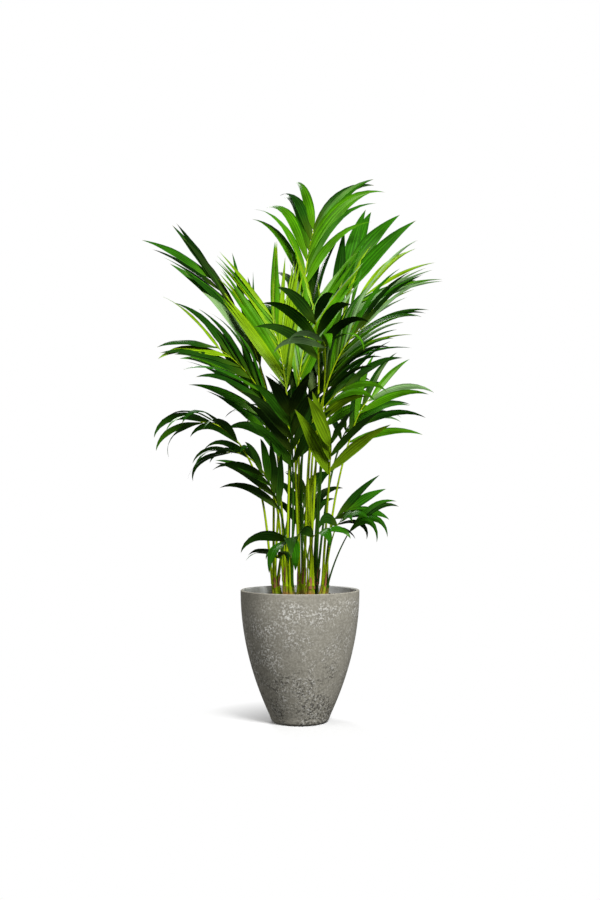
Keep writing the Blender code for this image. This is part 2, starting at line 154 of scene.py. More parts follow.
# What a leaflet tries in turn until it stands free: degrees from the rib, degrees of lift, share of its
# length
TRIES = (
    (0, 0, 1.0), (7, 0, 1.0), (-7, 0, 1.0), (0, 10, 1.0), (0, -10, 1.0), (10, 14, 1.0), (-10, -14, 1.0),
    (12, -18, 0.95), (-12, 20, 0.95), (0, 28, 0.9), (0, -28, 0.9), (-16, 6, 0.8), (18, -6, 0.8),
    (0, 16, 0.65), (0, -16, 0.65), (0, 0, 0.5),
)

# x, y: the middle of the stem on the soil. lean: how far its top stands from there.
Stem = namedtuple("Stem", "name x y height lean_x lean_y")
STEMS = (
    Stem("far_left", -0.072, 0.004, 0.036, -0.006, 0.001),
    Stem("back_left", -0.040, 0.056, 0.042, -0.004, 0.005),
    Stem("front_left", -0.030, -0.046, 0.034, -0.003, -0.004),
    Stem("middle", 0.004, 0.010, 0.045, 0.000, 0.001),
    Stem("front_right", 0.030, -0.054, 0.036, 0.002, -0.005),
    Stem("back_right", 0.044, 0.058, 0.040, 0.004, 0.005),
    Stem("far_right", 0.074, -0.008, 0.034, 0.007, 0.000),
)

# stem: the number of the stem that it grows from. knee: where the stalk ends and the leaflets begin. tip:
# where the rib ends. leaf, width: the longest leaflet. arch: degrees that the rib turns down over its length.
# face: degrees that the blade is rolled round its rib. spread: degrees between the rib and the lowest
# leaflets of either side. lift: degrees that the leaflets stand above the blade. bend: degrees that a leaflet
# of either side turns down. thick: the stalk's radius.
Frond = namedtuple(
    "Frond",
    "name stem knee tip pairs leaf width arch face spread lift bend thick",
    defaults=(0.0048,),
)
LARGE_FRONDS = (
    Frond("top", 3, (0.012, 0.100, 1.405), (0.048, 0.150, 1.630),
          6, 0.39, 0.036, 5, -20, (18, 30), 0, (58, 58)),
    Frond("bright_left", 2, (-0.042, -0.060, 1.034), (-0.092, 0.000, 1.300),
          7, 0.37, 0.036, 5, 38, (14, 26), 4, (8, 8)),
    Frond("bright_right", 3, (-0.010, -0.020, 1.022), (0.045, 0.060, 1.350),
          7, 0.35, 0.032, 5, -30, (22, 14), 4, (8, 8)),
    Frond("upper_left", 0, (-0.124, 0.010, 1.117), (-0.290, 0.020, 1.430),
          6, 0.33, 0.038, 14, 62, (12, 18), 4, (14, 24)),
    Frond("upper_right", 5, (0.114, 0.090, 1.261), (0.176, 0.160, 1.515),
          3, 0.36, 0.050, 10, -15, (45, 6), 5, (20, 15)),
    Frond("right_pale", 3, (0.072, 0.050, 1.105), (0.225, 0.080, 1.395),
          6, 0.34, 0.026, 20, -60, (34, 16), 6, (30, 30)),
    Frond("right_fan", 4, (0.070, -0.050, 1.013), (0.205, -0.120, 1.245),
          6, 0.33, 0.028, 30, -60, (52, 28), 6, (40, 45)),
    Frond("front", 4, (0.058, -0.135, 1.130), (0.046, -0.225, 1.245),
          3, 0.25, 0.038, 15, 0, (44, 34), 10, (50, 85)),
    Frond("left_mid", 0, (-0.095, -0.060, 0.980), (-0.262, -0.150, 1.175),
          6, 0.30, 0.036, 20, 75, (18, 34), 0, (45, 40)),
    Frond("left_low", 1, (-0.098, 0.040, 0.900), (-0.215, 0.080, 1.125),
          5, 0.27, 0.038, 15, 60, (14, 34), 0, (15, 30)),
    Frond("centre_low", 2, (-0.022, -0.080, 0.795), (-0.030, -0.180, 0.970),
          5, 0.23, 0.038, 20, 0, (42, 25), 10, (30, 30)),
    Frond("left_arch", 0, (-0.188, -0.040, 0.873), (-0.321, -0.080, 0.943),
          4, 0.25, 0.032, 45, 0, (35, 35), 5, (85, 85)),
    Frond("left_hang", 1, (-0.124, 0.030, 0.799), (-0.240, 0.020, 0.854),
          4, 0.21, 0.026, 40, 0, (40, 40), 5, (80, 80)),
    Frond("left_dark", 2, (-0.062, -0.036, 0.663), (-0.120, -0.100, 0.785),
          4, 0.22, 0.026, 20, -30, (40, 18), 5, (55, 35)),
    Frond("right_dark", 3, (0.023, 0.030, 0.962), (0.100, 0.050, 1.150),
          4, 0.20, 0.034, 20, -50, (38, 25), 5, (30, 25)),
    Frond("right_lower", 6, (0.157, 0.040, 0.881), (0.237, 0.060, 1.040),
          4, 0.27, 0.024, 25, -60, (60, 14), 0, (55, 30)),
    Frond("right_inner", 4, (0.050, -0.076, 0.934), (0.140, -0.140, 1.050),
          3, 0.27, 0.026, 20, -60, (45, 14), 0, (60, 40)),
    Frond("right_front", 6, (0.092, -0.100, 0.775), (0.096, -0.160, 0.875),
          3, 0.25, 0.042, 15, 0, (26, 50), 0, (12, 30)),
    Frond("right_back", 5, (0.136, 0.180, 0.889), (0.202, 0.260, 0.988),
          4, 0.26, 0.026, 30, 0, (40, 40), 5, (70, 70)),
)
BACK_FRONDS = (
    Frond("back_high", 1, (-0.030, 0.130, 1.060), (-0.045, 0.235, 1.330),
          5, 0.33, 0.040, 30, 35, (36, 36), 8, (45, 45)),
    Frond("back_left", 1, (-0.080, 0.170, 0.880), (-0.120, 0.340, 1.040),
          5, 0.28, 0.038, 35, 40, (40, 40), 8, (55, 55)),
    Frond("back_right", 5, (0.080, 0.160, 0.940), (0.110, 0.330, 1.140),
          5, 0.30, 0.038, 35, -40, (40, 40), 8, (55, 55)),
    Frond("back_top", 1, (0.040, 0.130, 1.200), (0.030, 0.240, 1.440),
          5, 0.32, 0.036, 20, 60, (30, 30), 5, (35, 35)),
    Frond("back_deep", 0, (-0.010, 0.090, 0.830), (-0.015, 0.190, 1.010),
          4, 0.26, 0.036, 25, -50, (36, 36), 5, (50, 50)),
    Frond("back_low", 5, (0.012, 0.120, 0.580), (0.016, 0.195, 0.730),
          4, 0.21, 0.036, 20, 0, (26, 26), 4, (60, 60)),
)
SMALL_FRONDS = (
    Frond("right_sprig", 6, (0.112, -0.008, 0.640), (0.150, -0.010, 0.668),
          2, 0.19, 0.030, 5, -60, (45, 5), 0, (60, 20), 0.0036),
    Frond("right_arc", 6, (0.155, -0.055, 0.599), (0.177, -0.070, 0.625),
          2, 0.21, 0.024, 5, -45, (25, 5), 5, (115, 90), 0.0032),
    Frond("right_bow", 6, (0.117, -0.055, 0.620), (0.129, -0.065, 0.633),
          2, 0.17, 0.034, 5, 0, (60, 60), 5, (110, 110), 0.0032),
    Frond("front_pale", 3, (0.078, -0.170, 1.165), (0.070, -0.210, 1.185),
          2, 0.19, 0.026, 5, 0, (70, 60), 5, (115, 105), 0.0034),
    Frond("front_bow", 4, (0.040, -0.105, 0.585), (0.058, -0.120, 0.597),
          2, 0.15, 0.034, 5, 0, (60, 60), 5, (100, 100), 0.0032),
    Frond("front_tongue", 2, (-0.034, -0.100, 0.572), (-0.032, -0.130, 0.574),
          2, 0.20, 0.042, 5, 0, (62, 8), 8, (85, 120), 0.0034),
    Frond("left_sprig", 0, (-0.064, -0.040, 0.516), (-0.078, -0.060, 0.528),
          2, 0.13, 0.032, 5, 0, (60, 60), 5, (100, 100), 0.0030),
)
ALL_FRONDS = LARGE_FRONDS + BACK_FRONDS + SMALL_FRONDS

# The leaflets' greens, how much paler the midrib of each is, and the greens that each frond's leaflets are
# dealt from at random. The greens also paint the crown's light: the lit green is painted light on the young
# leaflets' yellow-green, the palest greyish green is a painted sheen, and the dark green and much of the deep
# green, dealt to the fronds inside and behind the crown, are painted shade.
GREENS = ("lit", "fresh", "middle", "deep", "dark", "silver")
MIDRIBS = (1.25, 1.5, 1.9, 2.2, 2.6, 1.25)
DEALS = {
    "top": "fresh fresh middle fresh middle deep",
    "bright_left": "lit lit lit fresh",
    "bright_right": "lit fresh fresh lit silver",
    "upper_left": "deep deep middle silver dark",
    "upper_right": "middle deep middle fresh",
    "right_pale": "silver fresh middle lit",
    "right_fan": "silver middle deep fresh dark",
    "front": "deep dark deep middle",
    "left_mid": "lit deep deep middle",
    "left_low": "middle deep deep fresh",
    "centre_low": "dark deep dark middle",
    "left_arch": "fresh middle fresh deep",
    "left_hang": "fresh middle deep",
    "left_dark": "dark deep middle",
    "right_dark": "dark deep dark",
    "right_lower": "middle silver fresh deep",
    "right_inner": "fresh deep lit",
    "right_front": "lit fresh",
    "right_back": "silver middle deep",
    "right_sprig": "middle deep",
    "right_arc": "middle deep",
    "right_bow": "deep middle",
    "front_bow": "middle deep",
    "front_pale": "silver fresh silver",
    "back_low": "dark deep dark",
    "back_top": "middle deep fresh",
    "back_deep": "dark deep middle",
    "front_tongue": "deep middle",
    "left_sprig": "middle deep",
}
USUAL_DEAL = "middle deep fresh deep"
# Fronds with many slim leaflets, and fronds whose stalks have the darker green of painted shade
FINER = ("bright_left", "bright_right", "right_pale", "right_fan")
SHADED_STALKS = (
    "back_high", "back_left", "back_right", "back_low", "back_top", "back_deep", "right_back",
    "right_dark", "right_sprig", "right_arc", "centre_low", "left_dark", "upper_right",
)

# The kinds of size and colour that the settings hold
LengthProperty = partial(FloatProperty, subtype="DISTANCE", unit="LENGTH", min=0.0)
ShareProperty = partial(FloatProperty, subtype="FACTOR", min=0.0, max=1.0)
PowerProperty = partial(FloatProperty, subtype="POWER", unit="POWER", min=0.0)
AngleProperty = partial(FloatProperty, subtype="ANGLE", unit="ROTATION")
MillimetreProperty = partial(FloatProperty, subtype="DISTANCE_CAMERA", unit="CAMERA", min=1.0)
ColourProperty = partial(FloatVectorProperty, subtype="COLOR", min=0.0, max=1.0)


class PlanterSettings(bpy.types.PropertyGroup):
    """The planter's sizes and the colours of its clay"""

    sides: IntProperty(name="Sides", description="Faces round the planter", default=192, min=48, max=512)
    rounding: LengthProperty(name="Rim rounding", description="Radius of the rim's two edges", default=0.003)
    clay: ColourProperty(name="Clay", description="The grey between flecks", default=(0.365, 0.345, 0.285))
    fleck: ColourProperty(name="Flecks", description="The raised pale flecks", default=(0.80, 0.79, 0.74))
    pit: ColourProperty(name="Pits", description="The dark pits", default=(0.10, 0.094, 0.08))
    inside: ColourProperty(name="Inside", description="The smooth inner wall", default=(0.76, 0.77, 0.75))


class SoilSettings(bpy.types.PropertyGroup):
    """The soil's lumps, crumbs and colours"""

    lump: LengthProperty(name="Lumps", description="Height of the soil's lumps", default=0.0022)
    crumbs: IntProperty(name="Crumbs", description="Loose crumbs on the soil", default=420, min=0, max=2000)
    crumb_size: LengthProperty(name="Crumb size", description="Radius of the largest crumb", default=0.0042)
    earth: ColourProperty(name="Earth", description="The damp soil", default=(0.022, 0.013, 0.008))
    bark: ColourProperty(name="Bark", description="The drier crumbs", default=(0.10, 0.052, 0.026))


class StemSettings(bpy.types.PropertyGroup):
    """The stalk bases that make up the stems, and their dry sheaths"""

    sides: IntProperty(name="Sides", description="Faces round a stem", default=96, min=24, max=256)
    rod: LengthProperty(name="Stalk base", description="Radius of a stalk's base", default=0.0056)
    sheathed: ShareProperty(name="Sheathed", description="Share of the stalks with a sheath", default=0.6)
    sheath_height: LengthProperty(name="Sheath height", description="Height of a dry sheath", default=0.05)
    sheath_wall: LengthProperty(name="Sheath wall", description="Thickness of a dry sheath", default=0.0007)
    husk: ColourProperty(name="Husk", description="The dry reddish sheaths", default=(0.60, 0.22, 0.10))


class StalkSettings(bpy.types.PropertyGroup):
    """The stalks and ribs and their two greens: one stalk green in painted light and in painted shade"""

    sides: IntProperty(name="Sides", description="Faces round a stalk", default=12, min=6, max=32)
    groove: ShareProperty(name="Groove", description="Depth of the groove, by the radius", default=0.30)
    # The lit green is the stalk green with painted light, and the shaded green is the same green with painted
    # shade
    lit: ColourProperty(name="Lit stalk", description="The yellow-green stalks", default=(0.34, 0.50, 0.005))
    shaded: ColourProperty(name="Shaded stalk", description="The darker stalks", default=(0.030, 0.10, 0.004))


class LeafletSettings(bpy.types.PropertyGroup):
    """The leaflets' fold, waves, gloss and greens, with painted light, painted sheen and painted shade among
    the greens
    """

    blade: LengthProperty(name="Blade", description="Thickness under the midrib", default=0.0009)
    fold: ShareProperty(name="Fold", description="Height of the midrib, by the length", default=0.010)
    ripple: ShareProperty(name="Ripple", description="Wave of the edges, by the half width", default=0.07)
    slimness: ShareProperty(name="Slimness", description="Width of the finer fronds' leaflets", default=0.55)
    gloss: ShareProperty(name="Roughness", description="Roughness of the upper side", default=0.34)
    # Lit is the young leaflets' yellow-green with painted light on it
    lit: ColourProperty(name="Lit", description="Young yellow-green leaflets", default=(0.17, 0.32, 0.003))
    fresh: ColourProperty(name="Fresh", description="Fresh green leaflets", default=(0.052, 0.20, 0.002))
    middle: ColourProperty(name="Middle", description="Full green leaflets", default=(0.020, 0.115, 0.002))
    # Deep is a full green that also carries painted shade, and dark is painted shade
    deep: ColourProperty(name="Deep", description="Deep green leaflets", default=(0.008, 0.047, 0.002))
    dark: ColourProperty(name="Dark", description="The darkest leaflets", default=(0.003, 0.017, 0.001))
    # The palest, greyish green is a painted sheen
    silver: ColourProperty(name="Silver", description="Leaflets with a bloom", default=(0.155, 0.28, 0.105))
    underside: ColourProperty(name="Underside", description="Their lower side", default=(0.10, 0.20, 0.03))


class StageSettings(bpy.types.PropertyGroup):
    """The floor, the lights and the camera"""

    floor: ColourProperty(name="Floor", description="The pale floor", default=(0.90, 0.90, 0.90))
    reach: LengthProperty(name="Floor reach", description="Half the floor's width", default=30.0)
    sky: ShareProperty(name="Surrounding light", description="Strength of the even light", default=0.08)
    key: PowerProperty(name="Key light", description="Power of the light at the front right", default=255)
    fill: PowerProperty(name="Fill light", description="Power of the light at the left", default=22)
    back: PowerProperty(name="Back light", description="Power of the light behind", default=70)
    distance: LengthProperty(name="Camera distance", description="Camera to the planter", default=3.3)
    height: LengthProperty(name="Camera height", description="Camera above the floor", default=0.68)
    tilt: AngleProperty(name="Camera tilt", description="How far it looks up", default=math.radians(3.16))
    lens: MillimetreProperty(name="Lens", description="Focal length", default=40.99)
    sensor: MillimetreProperty(name="Sensor", description="Height of the sensor", default=36.0)


def settings(group):
    """The scene's sizes and colours for one group of pieces."""
    return getattr(bpy.context.scene, "palm_" + group)


# Shared surfaces


def unit(vector):
    """A vector, or each vector of an array, divided by its own length."""
    return vector / np.linalg.norm(vector, axis=-1, keepdims=True)


def add_piece(name, points, faces, finishes, stands_for=(), slot="", indices=None, uv=None, sharp=None):
    """A smooth mesh of points and faces that rides on the palm's one body. indices deals the finishes to the
    faces, uv gives two numbers a point, and sharp is the angle in degrees past which an edge stays hard."""
    mesh = bpy.data.meshes.new(name)
    mesh.from_pydata(np.asarray(points, dtype=float), [], faces)
    for finish in finishes:
        mesh.materials.append(finish)
    if indices is not None:
        mesh.polygons.foreach_set("material_index", np.asarray(indices, dtype=np.int32))
    if uv is not None:
        corners = np.empty(len(mesh.loops), dtype=np.int32)
        mesh.loops.foreach_get("vertex_index", corners)
        layer = mesh.uv_layers.new(name="blade")
        layer.uv.foreach_set("vector", np.asarray(uv, dtype=np.float32)[corners].ravel())
    mesh.shade_smooth()
    if sharp is not None:
        mesh.set_sharp_from_angle(angle=math.radians(sharp))
    made = bpy.data.objects.new(name, mesh)
    bpy.context.scene.collection.objects.link(made)
    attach(made, "root")
    if stands_for:
        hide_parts(*stands_for)
    return made


def grid_quads(rows, columns, closed=True):
    """The quads of a grid that runs up by rows and, seen from outside, to the right by columns."""
    low = np.arange(rows - 1)[:, None] * columns
    left = np.arange(columns if closed else columns - 1)[None, :]
    right = (left + 1) % columns
    quads = np.stack([low + left, low + right, low + columns + right, low + columns + left], axis=-1)
    return quads.reshape(-1, 4)


def join_shapes(shapes):
    """One list of points and one of faces from many (points, faces)."""
    points, faces, start = [], [], 0
    for own_points, own_faces in shapes:
        points.append(own_points)
        faces += [tuple(start + corner for corner in face) for face in own_faces]
        start += len(own_points)
    return np.concatenate(points), faces


def angles_round(sides):
    """The angles of a ring's corners: 2 pi k / sides."""
    return 2 * np.pi * np.arange(sides) / sides


def capped(grid, first, last):
    """A grid of rings, closed round, whose end rings are joined to a middle point each by a fan of
    triangles."""
    rows, columns = grid.shape[:2]
    points = np.concatenate([grid.reshape(-1, 3), [first, last]])
    here, after = np.arange(columns), (np.arange(columns) + 1) % columns
    end = (rows - 1) * columns
    first_fan = np.stack([after, here, np.full(columns, len(points) - 2)], axis=-1)
    last_fan = np.stack([end + here, end + after, np.full(columns, len(points) - 1)], axis=-1)
    return points, grid_quads(rows, columns).tolist() + first_fan.tolist() + last_fan.tolist()


def turned(profile, sides):
    """A profile of (radius, height) carried round the Z axis: x = r cos a, y = r sin a, z = h. Its first and
    last points lie on the axis and close it."""
    profile = np.asarray(profile, dtype=float)
    angle = angles_round(sides)
    radius, height = profile[1:-1, 0, None], profile[1:-1, 1, None]
    rings = np.stack([radius * np.cos(angle), radius * np.sin(angle), height + 0 * angle], axis=-1)
    return capped(rings, (0, 0, profile[0, 1]), (0, 0, profile[-1, 1]))


def arc(centre, radius, start, end, steps):
    """Points on a circle, centre + r (cos a, sin a), from one angle to another, in degrees."""
    angle = np.radians(np.linspace(start, end, steps))
    return [(centre[0] + radius * math.cos(a), centre[1] + radius * math.sin(a)) for a in angle]


def tube(path, ways, radii, sides, groove=0.0):
    """A ring r(a) = radius (1 - groove exp(-(a / 0.6)^2)) carried along a path, each ring across its way,
    and closed with a flat face at both ends. The groove lies on the upper side."""
    across = unit(np.cross(ways[0], (0.37, -0.91, 0.11)))
    angles = angles_round(sides)
    if groove:
        across = unit(UP + 1e-3 * across)
    away = (angles + np.pi) % (2 * np.pi) - np.pi
    share = 1 - groove * np.exp(-((away / 0.6) ** 2))
    rings = []
    for middle, way, radius in zip(path, ways, radii):
        across = unit(across - way * np.dot(across, way))
        other = np.cross(way, across)
        ring = np.cos(angles)[:, None] * across + np.sin(angles)[:, None] * other
        rings.append(middle + radius * share[:, None] * ring)
    points = np.concatenate(rings)
    faces = [tuple(face) for face in grid_quads(len(path), sides).tolist()]
    faces.append(tuple(range(sides))[::-1])
    faces.append(tuple(range(len(points) - sides, len(points))))
    return points, faces


def shell(surface, wall):
    """A thin closed shell: a grid of points, its copy set back by the wall along the normal, the cross
    product of the grid's two slopes, and a rim."""
    rows, columns = surface.shape[:2]
    normal = unit(np.cross(np.gradient(surface, axis=1), np.gradient(surface, axis=0)) + 1e-12)
    points = np.concatenate([surface.reshape(-1, 3), (surface - wall * normal).reshape(-1, 3)])
    front = grid_quads(rows, columns, closed=False)
    back = front[:, ::-1] + rows * columns
    index = np.arange(rows * columns).reshape(rows, columns)
    border = np.concatenate([index[0, :-1], index[:-1, -1], index[-1, :0:-1], index[:0:-1, 0]])
    after = np.roll(border, -1)
    rim = np.stack([after, border, border + rows * columns, after + rows * columns], axis=-1)
    return points, np.concatenate([front, back, rim]).tolist()


def waves(points, seed, size, count=14):
    """Even lumps about size across: twice the mean of the sines of many seeded plane waves."""
    chance = np.random.default_rng(seed)
    ways = unit(chance.normal(size=(count, 3))) * (2 * np.pi / size) * chance.uniform(0.6, 1.6, (count, 1))
    return np.sin(points @ ways.T + chance.uniform(0, 2 * np.pi, count)).mean(axis=1) * 2


# The palm's rule, as in the solids


def planter_radius(z):
    """The planter swells from its foot to an upright rim: r = R - (R - foot) (1 - z / H)^2."""
    return RIM_RADIUS - (RIM_RADIUS - FOOT_RADIUS) * (1 - z / PLANTER_HEIGHT) ** 2


def stem_top(stem):
    """The middle of a stem's top: its foot on the soil, plus its lean and its height."""
    return np.array((stem.x + stem.lean_x, stem.y + stem.lean_y, SOIL_LEVEL + SEAT_GAP + stem.height))


def stem_path(stem, steps):
    """A straight line from a stem's foot to its top, and its radius there: top radius + flare (1 - t)^2."""
    share = np.linspace(0, 1, steps + 1)
    foot = np.array((stem.x, stem.y, SOIL_LEVEL + SEAT_GAP))
    return foot + share[:, None] * (stem_top(stem) - foot), STEM_TOP_RADIUS + STEM_FLARE * (1 - share) ** 2


def stalk_foot(frond):
    """Where a stalk leaves its stem: the stalks of one stem stand evenly on a ring, foot = top + ring (cos a,
    sin a), in the order of their headings."""
    top = stem_top(STEMS[frond.stem])
    mates = [mate for mate in ALL_FRONDS if mate.stem == frond.stem]
    heading = {mate.name: math.atan2(mate.knee[1] - top[1], mate.knee[0] - top[0]) for mate in mates}
    order = sorted(mates, key=lambda mate: heading[mate.name])
    step = 2 * math.pi / len(order)
    turn = sum(heading[mate.name] - i * step for i, mate in enumerate(order)) / len(order)
    angle = turn + order.index(frond) * step
    return top + np.array((STALK_RING * math.cos(angle), STALK_RING * math.sin(angle), SEAT_GAP))


def hermite(start, end, start_pull, end_pull, share):
    """A smooth curve between two points that leaves and arrives along the two pulls: the four cubic weights
    2t^3 - 3t^2 + 1, t^3 - 2t^2 + t, 3t^2 - 2t^3 and t^3 - t^2."""
    t = np.asarray(share, float)[:, None]
    return (
        (2 * t**3 - 3 * t**2 + 1) * start
        + (t**3 - 2 * t**2 + t) * start_pull
        + (3 * t**2 - 2 * t**3) * end
        + (t**3 - t**2) * end_pull
    )


def frond_lines(frond):
    """The stalk's and the rib's middle lines as functions of 0 to 1, and the way they run at the knee. The
    stalk leaves its stem steeply, and the rib ends turned down by the frond's arch."""
    foot, knee, tip = stalk_foot(frond), np.array(frond.knee), np.array(frond.tip)
    stalk_length, rib_length = np.linalg.norm(knee - foot), np.linalg.norm(tip - knee)
    stalk_way, rib_way = unit(knee - foot), unit(tip - knee)
    leaving = unit(stalk_way + 0.6 * UP)
    knee_way = unit(1.2 * stalk_way + rib_way)
    down = unit(-UP + rib_way * np.dot(rib_way, UP))
    turn = math.radians(frond.arch)
    ending = rib_way * math.cos(turn) + down * math.sin(turn)
    return (
        lambda share: hermite(foot, knee, leaving * stalk_length, knee_way * stalk_length, share),
        lambda share: hermite(knee, tip, knee_way * rib_length, ending * rib_length, share),
        knee_way,
    )


def stalk_radii(frond, share):
    """A stalk tapers evenly: thick (1 - (1 - knee share) t)."""
    return frond.thick * (1 - (1 - KNEE_SHARE) * share)


def rib_radii(frond, share):
    """A rib goes on from its stalk's end: thick * knee share (1 - (1 - tip share) t)."""
    return frond.thick * KNEE_SHARE * (1 - (1 - RIB_TIP_SHARE) * share)


def solid_tubes(frond):
    """The frond's two plain tubes as the solids have them, which the leaflets keep clear of."""
    stalk, rib, knee_way = frond_lines(frond)
    share = np.linspace(0, 1, STALK_STEPS + 1)
    path = stalk(share)
    ways = unit(np.gradient(path, axis=0))
    ways[0], ways[-1] = UP, knee_way
    yield tube(path, ways, stalk_radii(frond, share), STALK_SIDES)
    share = np.linspace(0, 1, RIB_STEPS + 1)
    path = rib(share)
    path[0] += knee_way * SEAT_GAP
    ways = unit(np.gradient(path, axis=0))
    ways[0] = knee_way
    yield tube(path, ways, rib_radii(frond, share), RIB_SIDES)


def rib_frame(frond, share):
    """The point on the rib, its way, the side and the upper normal of the blade, at a share of the rib."""
    rib = frond_lines(frond)[1]
    back, ahead = rib([share - 0.01, share + 0.01])
    way = unit(ahead - back)
    rings = np.linspace(0, 1, RIB_STEPS + 1)
    point = np.array([np.interp(share, rings, line) for line in rib(rings).T])
    run = np.array(frond.tip) - np.array(frond.knee)
    side = np.cross((run[0], run[1], 0.0), UP)
    side = unit(side - way * np.dot(side, way))
    normal = np.cross(side, way)
    roll = math.radians(frond.face)
    rolled = side * math.cos(roll) + normal * math.sin(roll)
    return point, way, rolled, np.cross(rolled, way)


def plan_leaflets(frond):
    """One row for each leaflet of a frond, from the knee to the end, with small seeded differences. Its
    angle falls evenly from the spread to TIP_SPREAD, and its length is 0.78 + 0.22 sin(pi (0.25 + 0.75 t))
    of the longest."""
    chance = random.Random(frond.name)
    rows = []
    for number in range(frond.pairs):
        for hand in (1, -1):
            even = (number + (0.25 if hand < 0 else 0.0)) / (frond.pairs - 0.75)
            share = FIRST_LEAFLET + (LAST_LEAFLET - FIRST_LEAFLET) * even
            longest = 0.78 + 0.22 * math.sin(math.pi * (0.25 + 0.75 * share))
            spread = frond.spread[hand < 0]
            rows.append(
                {
                    "frame": rib_frame(frond, share),
                    "hand": hand,
                    "angle": spread + (min(TIP_SPREAD, spread) - spread) * share + chance.uniform(-4, 4),
                    "lift": frond.lift * (1.2 - 0.6 * share) + chance.uniform(-7, 7),
                    "length": frond.leaf * longest * chance.uniform(0.9, 1.05),
                    "bend": frond.bend[hand < 0] * chance.uniform(0.7, 1.3),
                    "roll": hand * (USUAL_ROLL + chance.uniform(-16, 16)),
                    "twist": chance.uniform(-35, 35),
                    "width": frond.width * chance.uniform(0.86, 1.08),
                }
            )
    return rows


def leaflet_frames(plan, change, stations):
    """A leaflet's middle points, its ways across and its upper normals at some shares of its length. It
    leaves the rib at an angle and turns down in an upright plane by bend * share^2, and it twists evenly."""
    point, way, side, normal = plan["frame"]
    angle = math.radians(plan["angle"] + change[0])
    lift = math.radians(plan["lift"] + change[1])
    outward = plan["hand"] * side * math.cos(lift) + normal * math.sin(lift)
    start = unit(way * math.cos(angle) + outward * math.sin(angle))
    down = unit(-UP + start * np.dot(start, UP))
    level = np.cross(start, down)
    across = unit(way - start * np.dot(way, start))
    grid = np.linspace(0, 1, CURVE_STEPS + 1)
    turn = math.radians(plan["bend"]) * grid**BEND_POWER
    ran = np.concatenate([[0], np.cumsum(np.cos((turn[1:] + turn[:-1]) / 2))]) / CURVE_STEPS
    fell = np.concatenate([[0], np.cumsum(np.sin((turn[1:] + turn[:-1]) / 2))]) / CURVE_STEPS
    ran, fell, turn = (np.interp(stations, grid, line)[:, None] for line in (ran, fell, turn))
    length = plan["length"] * change[2]
    middle = point + length * (ran * start + fell * down)
    now = start * np.cos(turn) + down * np.sin(turn)
    inward = down * np.cos(turn) - start * np.sin(turn)
    wide = np.dot(across, level) * level + np.dot(across, down) * inward
    upper = plan["hand"] * np.cross(now, wide)
    twist = np.radians(plan["roll"] + plan["twist"] * np.asarray(stations))[:, None]
    return middle, wide * np.cos(twist) + upper * np.sin(twist), upper * np.cos(twist) - wide * np.sin(twist)


def leaflet_half_width(stations, width):
    """The outline: narrow at the root, widest before the middle, drawn out to a point. It is half the width
    times sin(pi u^0.75)^0.95, and no less than 0.16 (1 - u)^2 of it."""
    u = np.asarray(stations, float)
    swell = np.sin(np.pi * u**WIDEST_AT).clip(0) ** BLUNTNESS
    return width / 2 * np.maximum(swell, ROOT_WIDTH * (1 - u) ** 2)


def split_outward(points, quads):
    """Two triangles for each quad, split on the diagonal that makes a twisted quad bulge out."""
    a, b, c, d = points[quads].transpose(1, 0, 2)
    hollow = (np.cross(b - a, c - a) * (d - a)).sum(axis=1) > 0
    quads = np.where(hollow[:, None], np.roll(quads, 1, axis=1), quads).tolist()
    return [face for i, j, k, m in quads for face in ((i, j, k), (i, k, m))]


def solid_leaflet(plan, change, grow=0.0):
    """The leaflet as the solids have it: a thin three-sided blade with a ridge above."""
    stations = MORE_STATIONS if plan["bend"] > MUCH_BEND else FEW_STATIONS
    middle, wide, upper = leaflet_frames(plan, change, stations)
    half = leaflet_half_width(stations, plan["width"])[:, None]
    rise = THICKNESS_SHARE * plan["length"] * np.maximum(2 * half / plan["width"], 0.5)
    left = middle - wide * (half + grow) - upper * grow
    right = middle + wide * (half + grow) - upper * grow
    ridge = middle + upper * (rise + grow)
    points = np.stack([left[:-1], right[:-1], ridge[:-1]], axis=1).reshape(-1, 3)
    points = np.concatenate([points, middle[-1:]])
    tip = len(points) - 1
    ends = [(tip - 3 + i, tip - 3 + (i + 1) % 3, tip) for i in range(3)] + [(2, 1, 0)]
    quads = grid_quads(len(stations) - 1, 3)
    if plan["hand"] < 0:
        quads = quads[:, ::-1]
    return points, split_outward(points, quads) + ends


class Space:
    """What already stands in the crown, so that a new piece can be kept clear of it."""

    def __init__(self):
        self.low, self.high, self.trees, self.owners = [], [], [], []

    def add(self, solid, owner):
        """Keeps a solid's box, its faces and the name of the frond or stem that it belongs to."""
        points, faces = solid
        self.low.append(np.min(points, axis=0))
        self.high.append(np.max(points, axis=0))
        self.trees.append(BVHTree.FromPolygons(points.tolist(), faces))
        self.owners.append(owner)

    def is_free(self, solid, owner):
        """Whether the solid meets nothing but its own frond."""
        points, faces = solid
        low, high = np.min(points, axis=0), np.max(points, axis=0)
        near = np.all((np.array(self.low) <= high) & (np.array(self.high) >= low), axis=1)
        tree = BVHTree.FromPolygons(points.tolist(), faces)
        near = np.flatnonzero(near)
        return not any(self.owners[i] != owner and self.trees[i].overlap(tree) for i in near)


def place_leaflets():
    """Each frond's leaflets as (plan, change), chosen by the solids' own rule."""
    space = Space()
    for stem in STEMS:
        path, radii = stem_path(stem, STEM_STEPS)
        space.add(tube(path, [UP] * len(path), radii, STEM_SIDES), stem.name)
    for frond in ALL_FRONDS:
        for solid in solid_tubes(frond):
            space.add(solid, frond.name)
    placed = {}
    for frond in ALL_FRONDS:
        placed[frond.name] = []
        for plan in plan_leaflets(frond):
            for change in TRIES:
                if space.is_free(solid_leaflet(plan, change, CLEARANCE), frond.name):
                    space.add(solid_leaflet(plan, change), frond.name)
                    placed[frond.name].append((plan, change))
                    break
    return placed


# Finishes


def new_finish(name, roughness):
    """A material with its node tree and its shader."""
    made = bpy.data.materials.new(name)
    made.use_nodes = True
    shader = made.node_tree.nodes["Principled BSDF"]
    shader.inputs["Roughness"].default_value = roughness
    return made, made.node_tree, shader


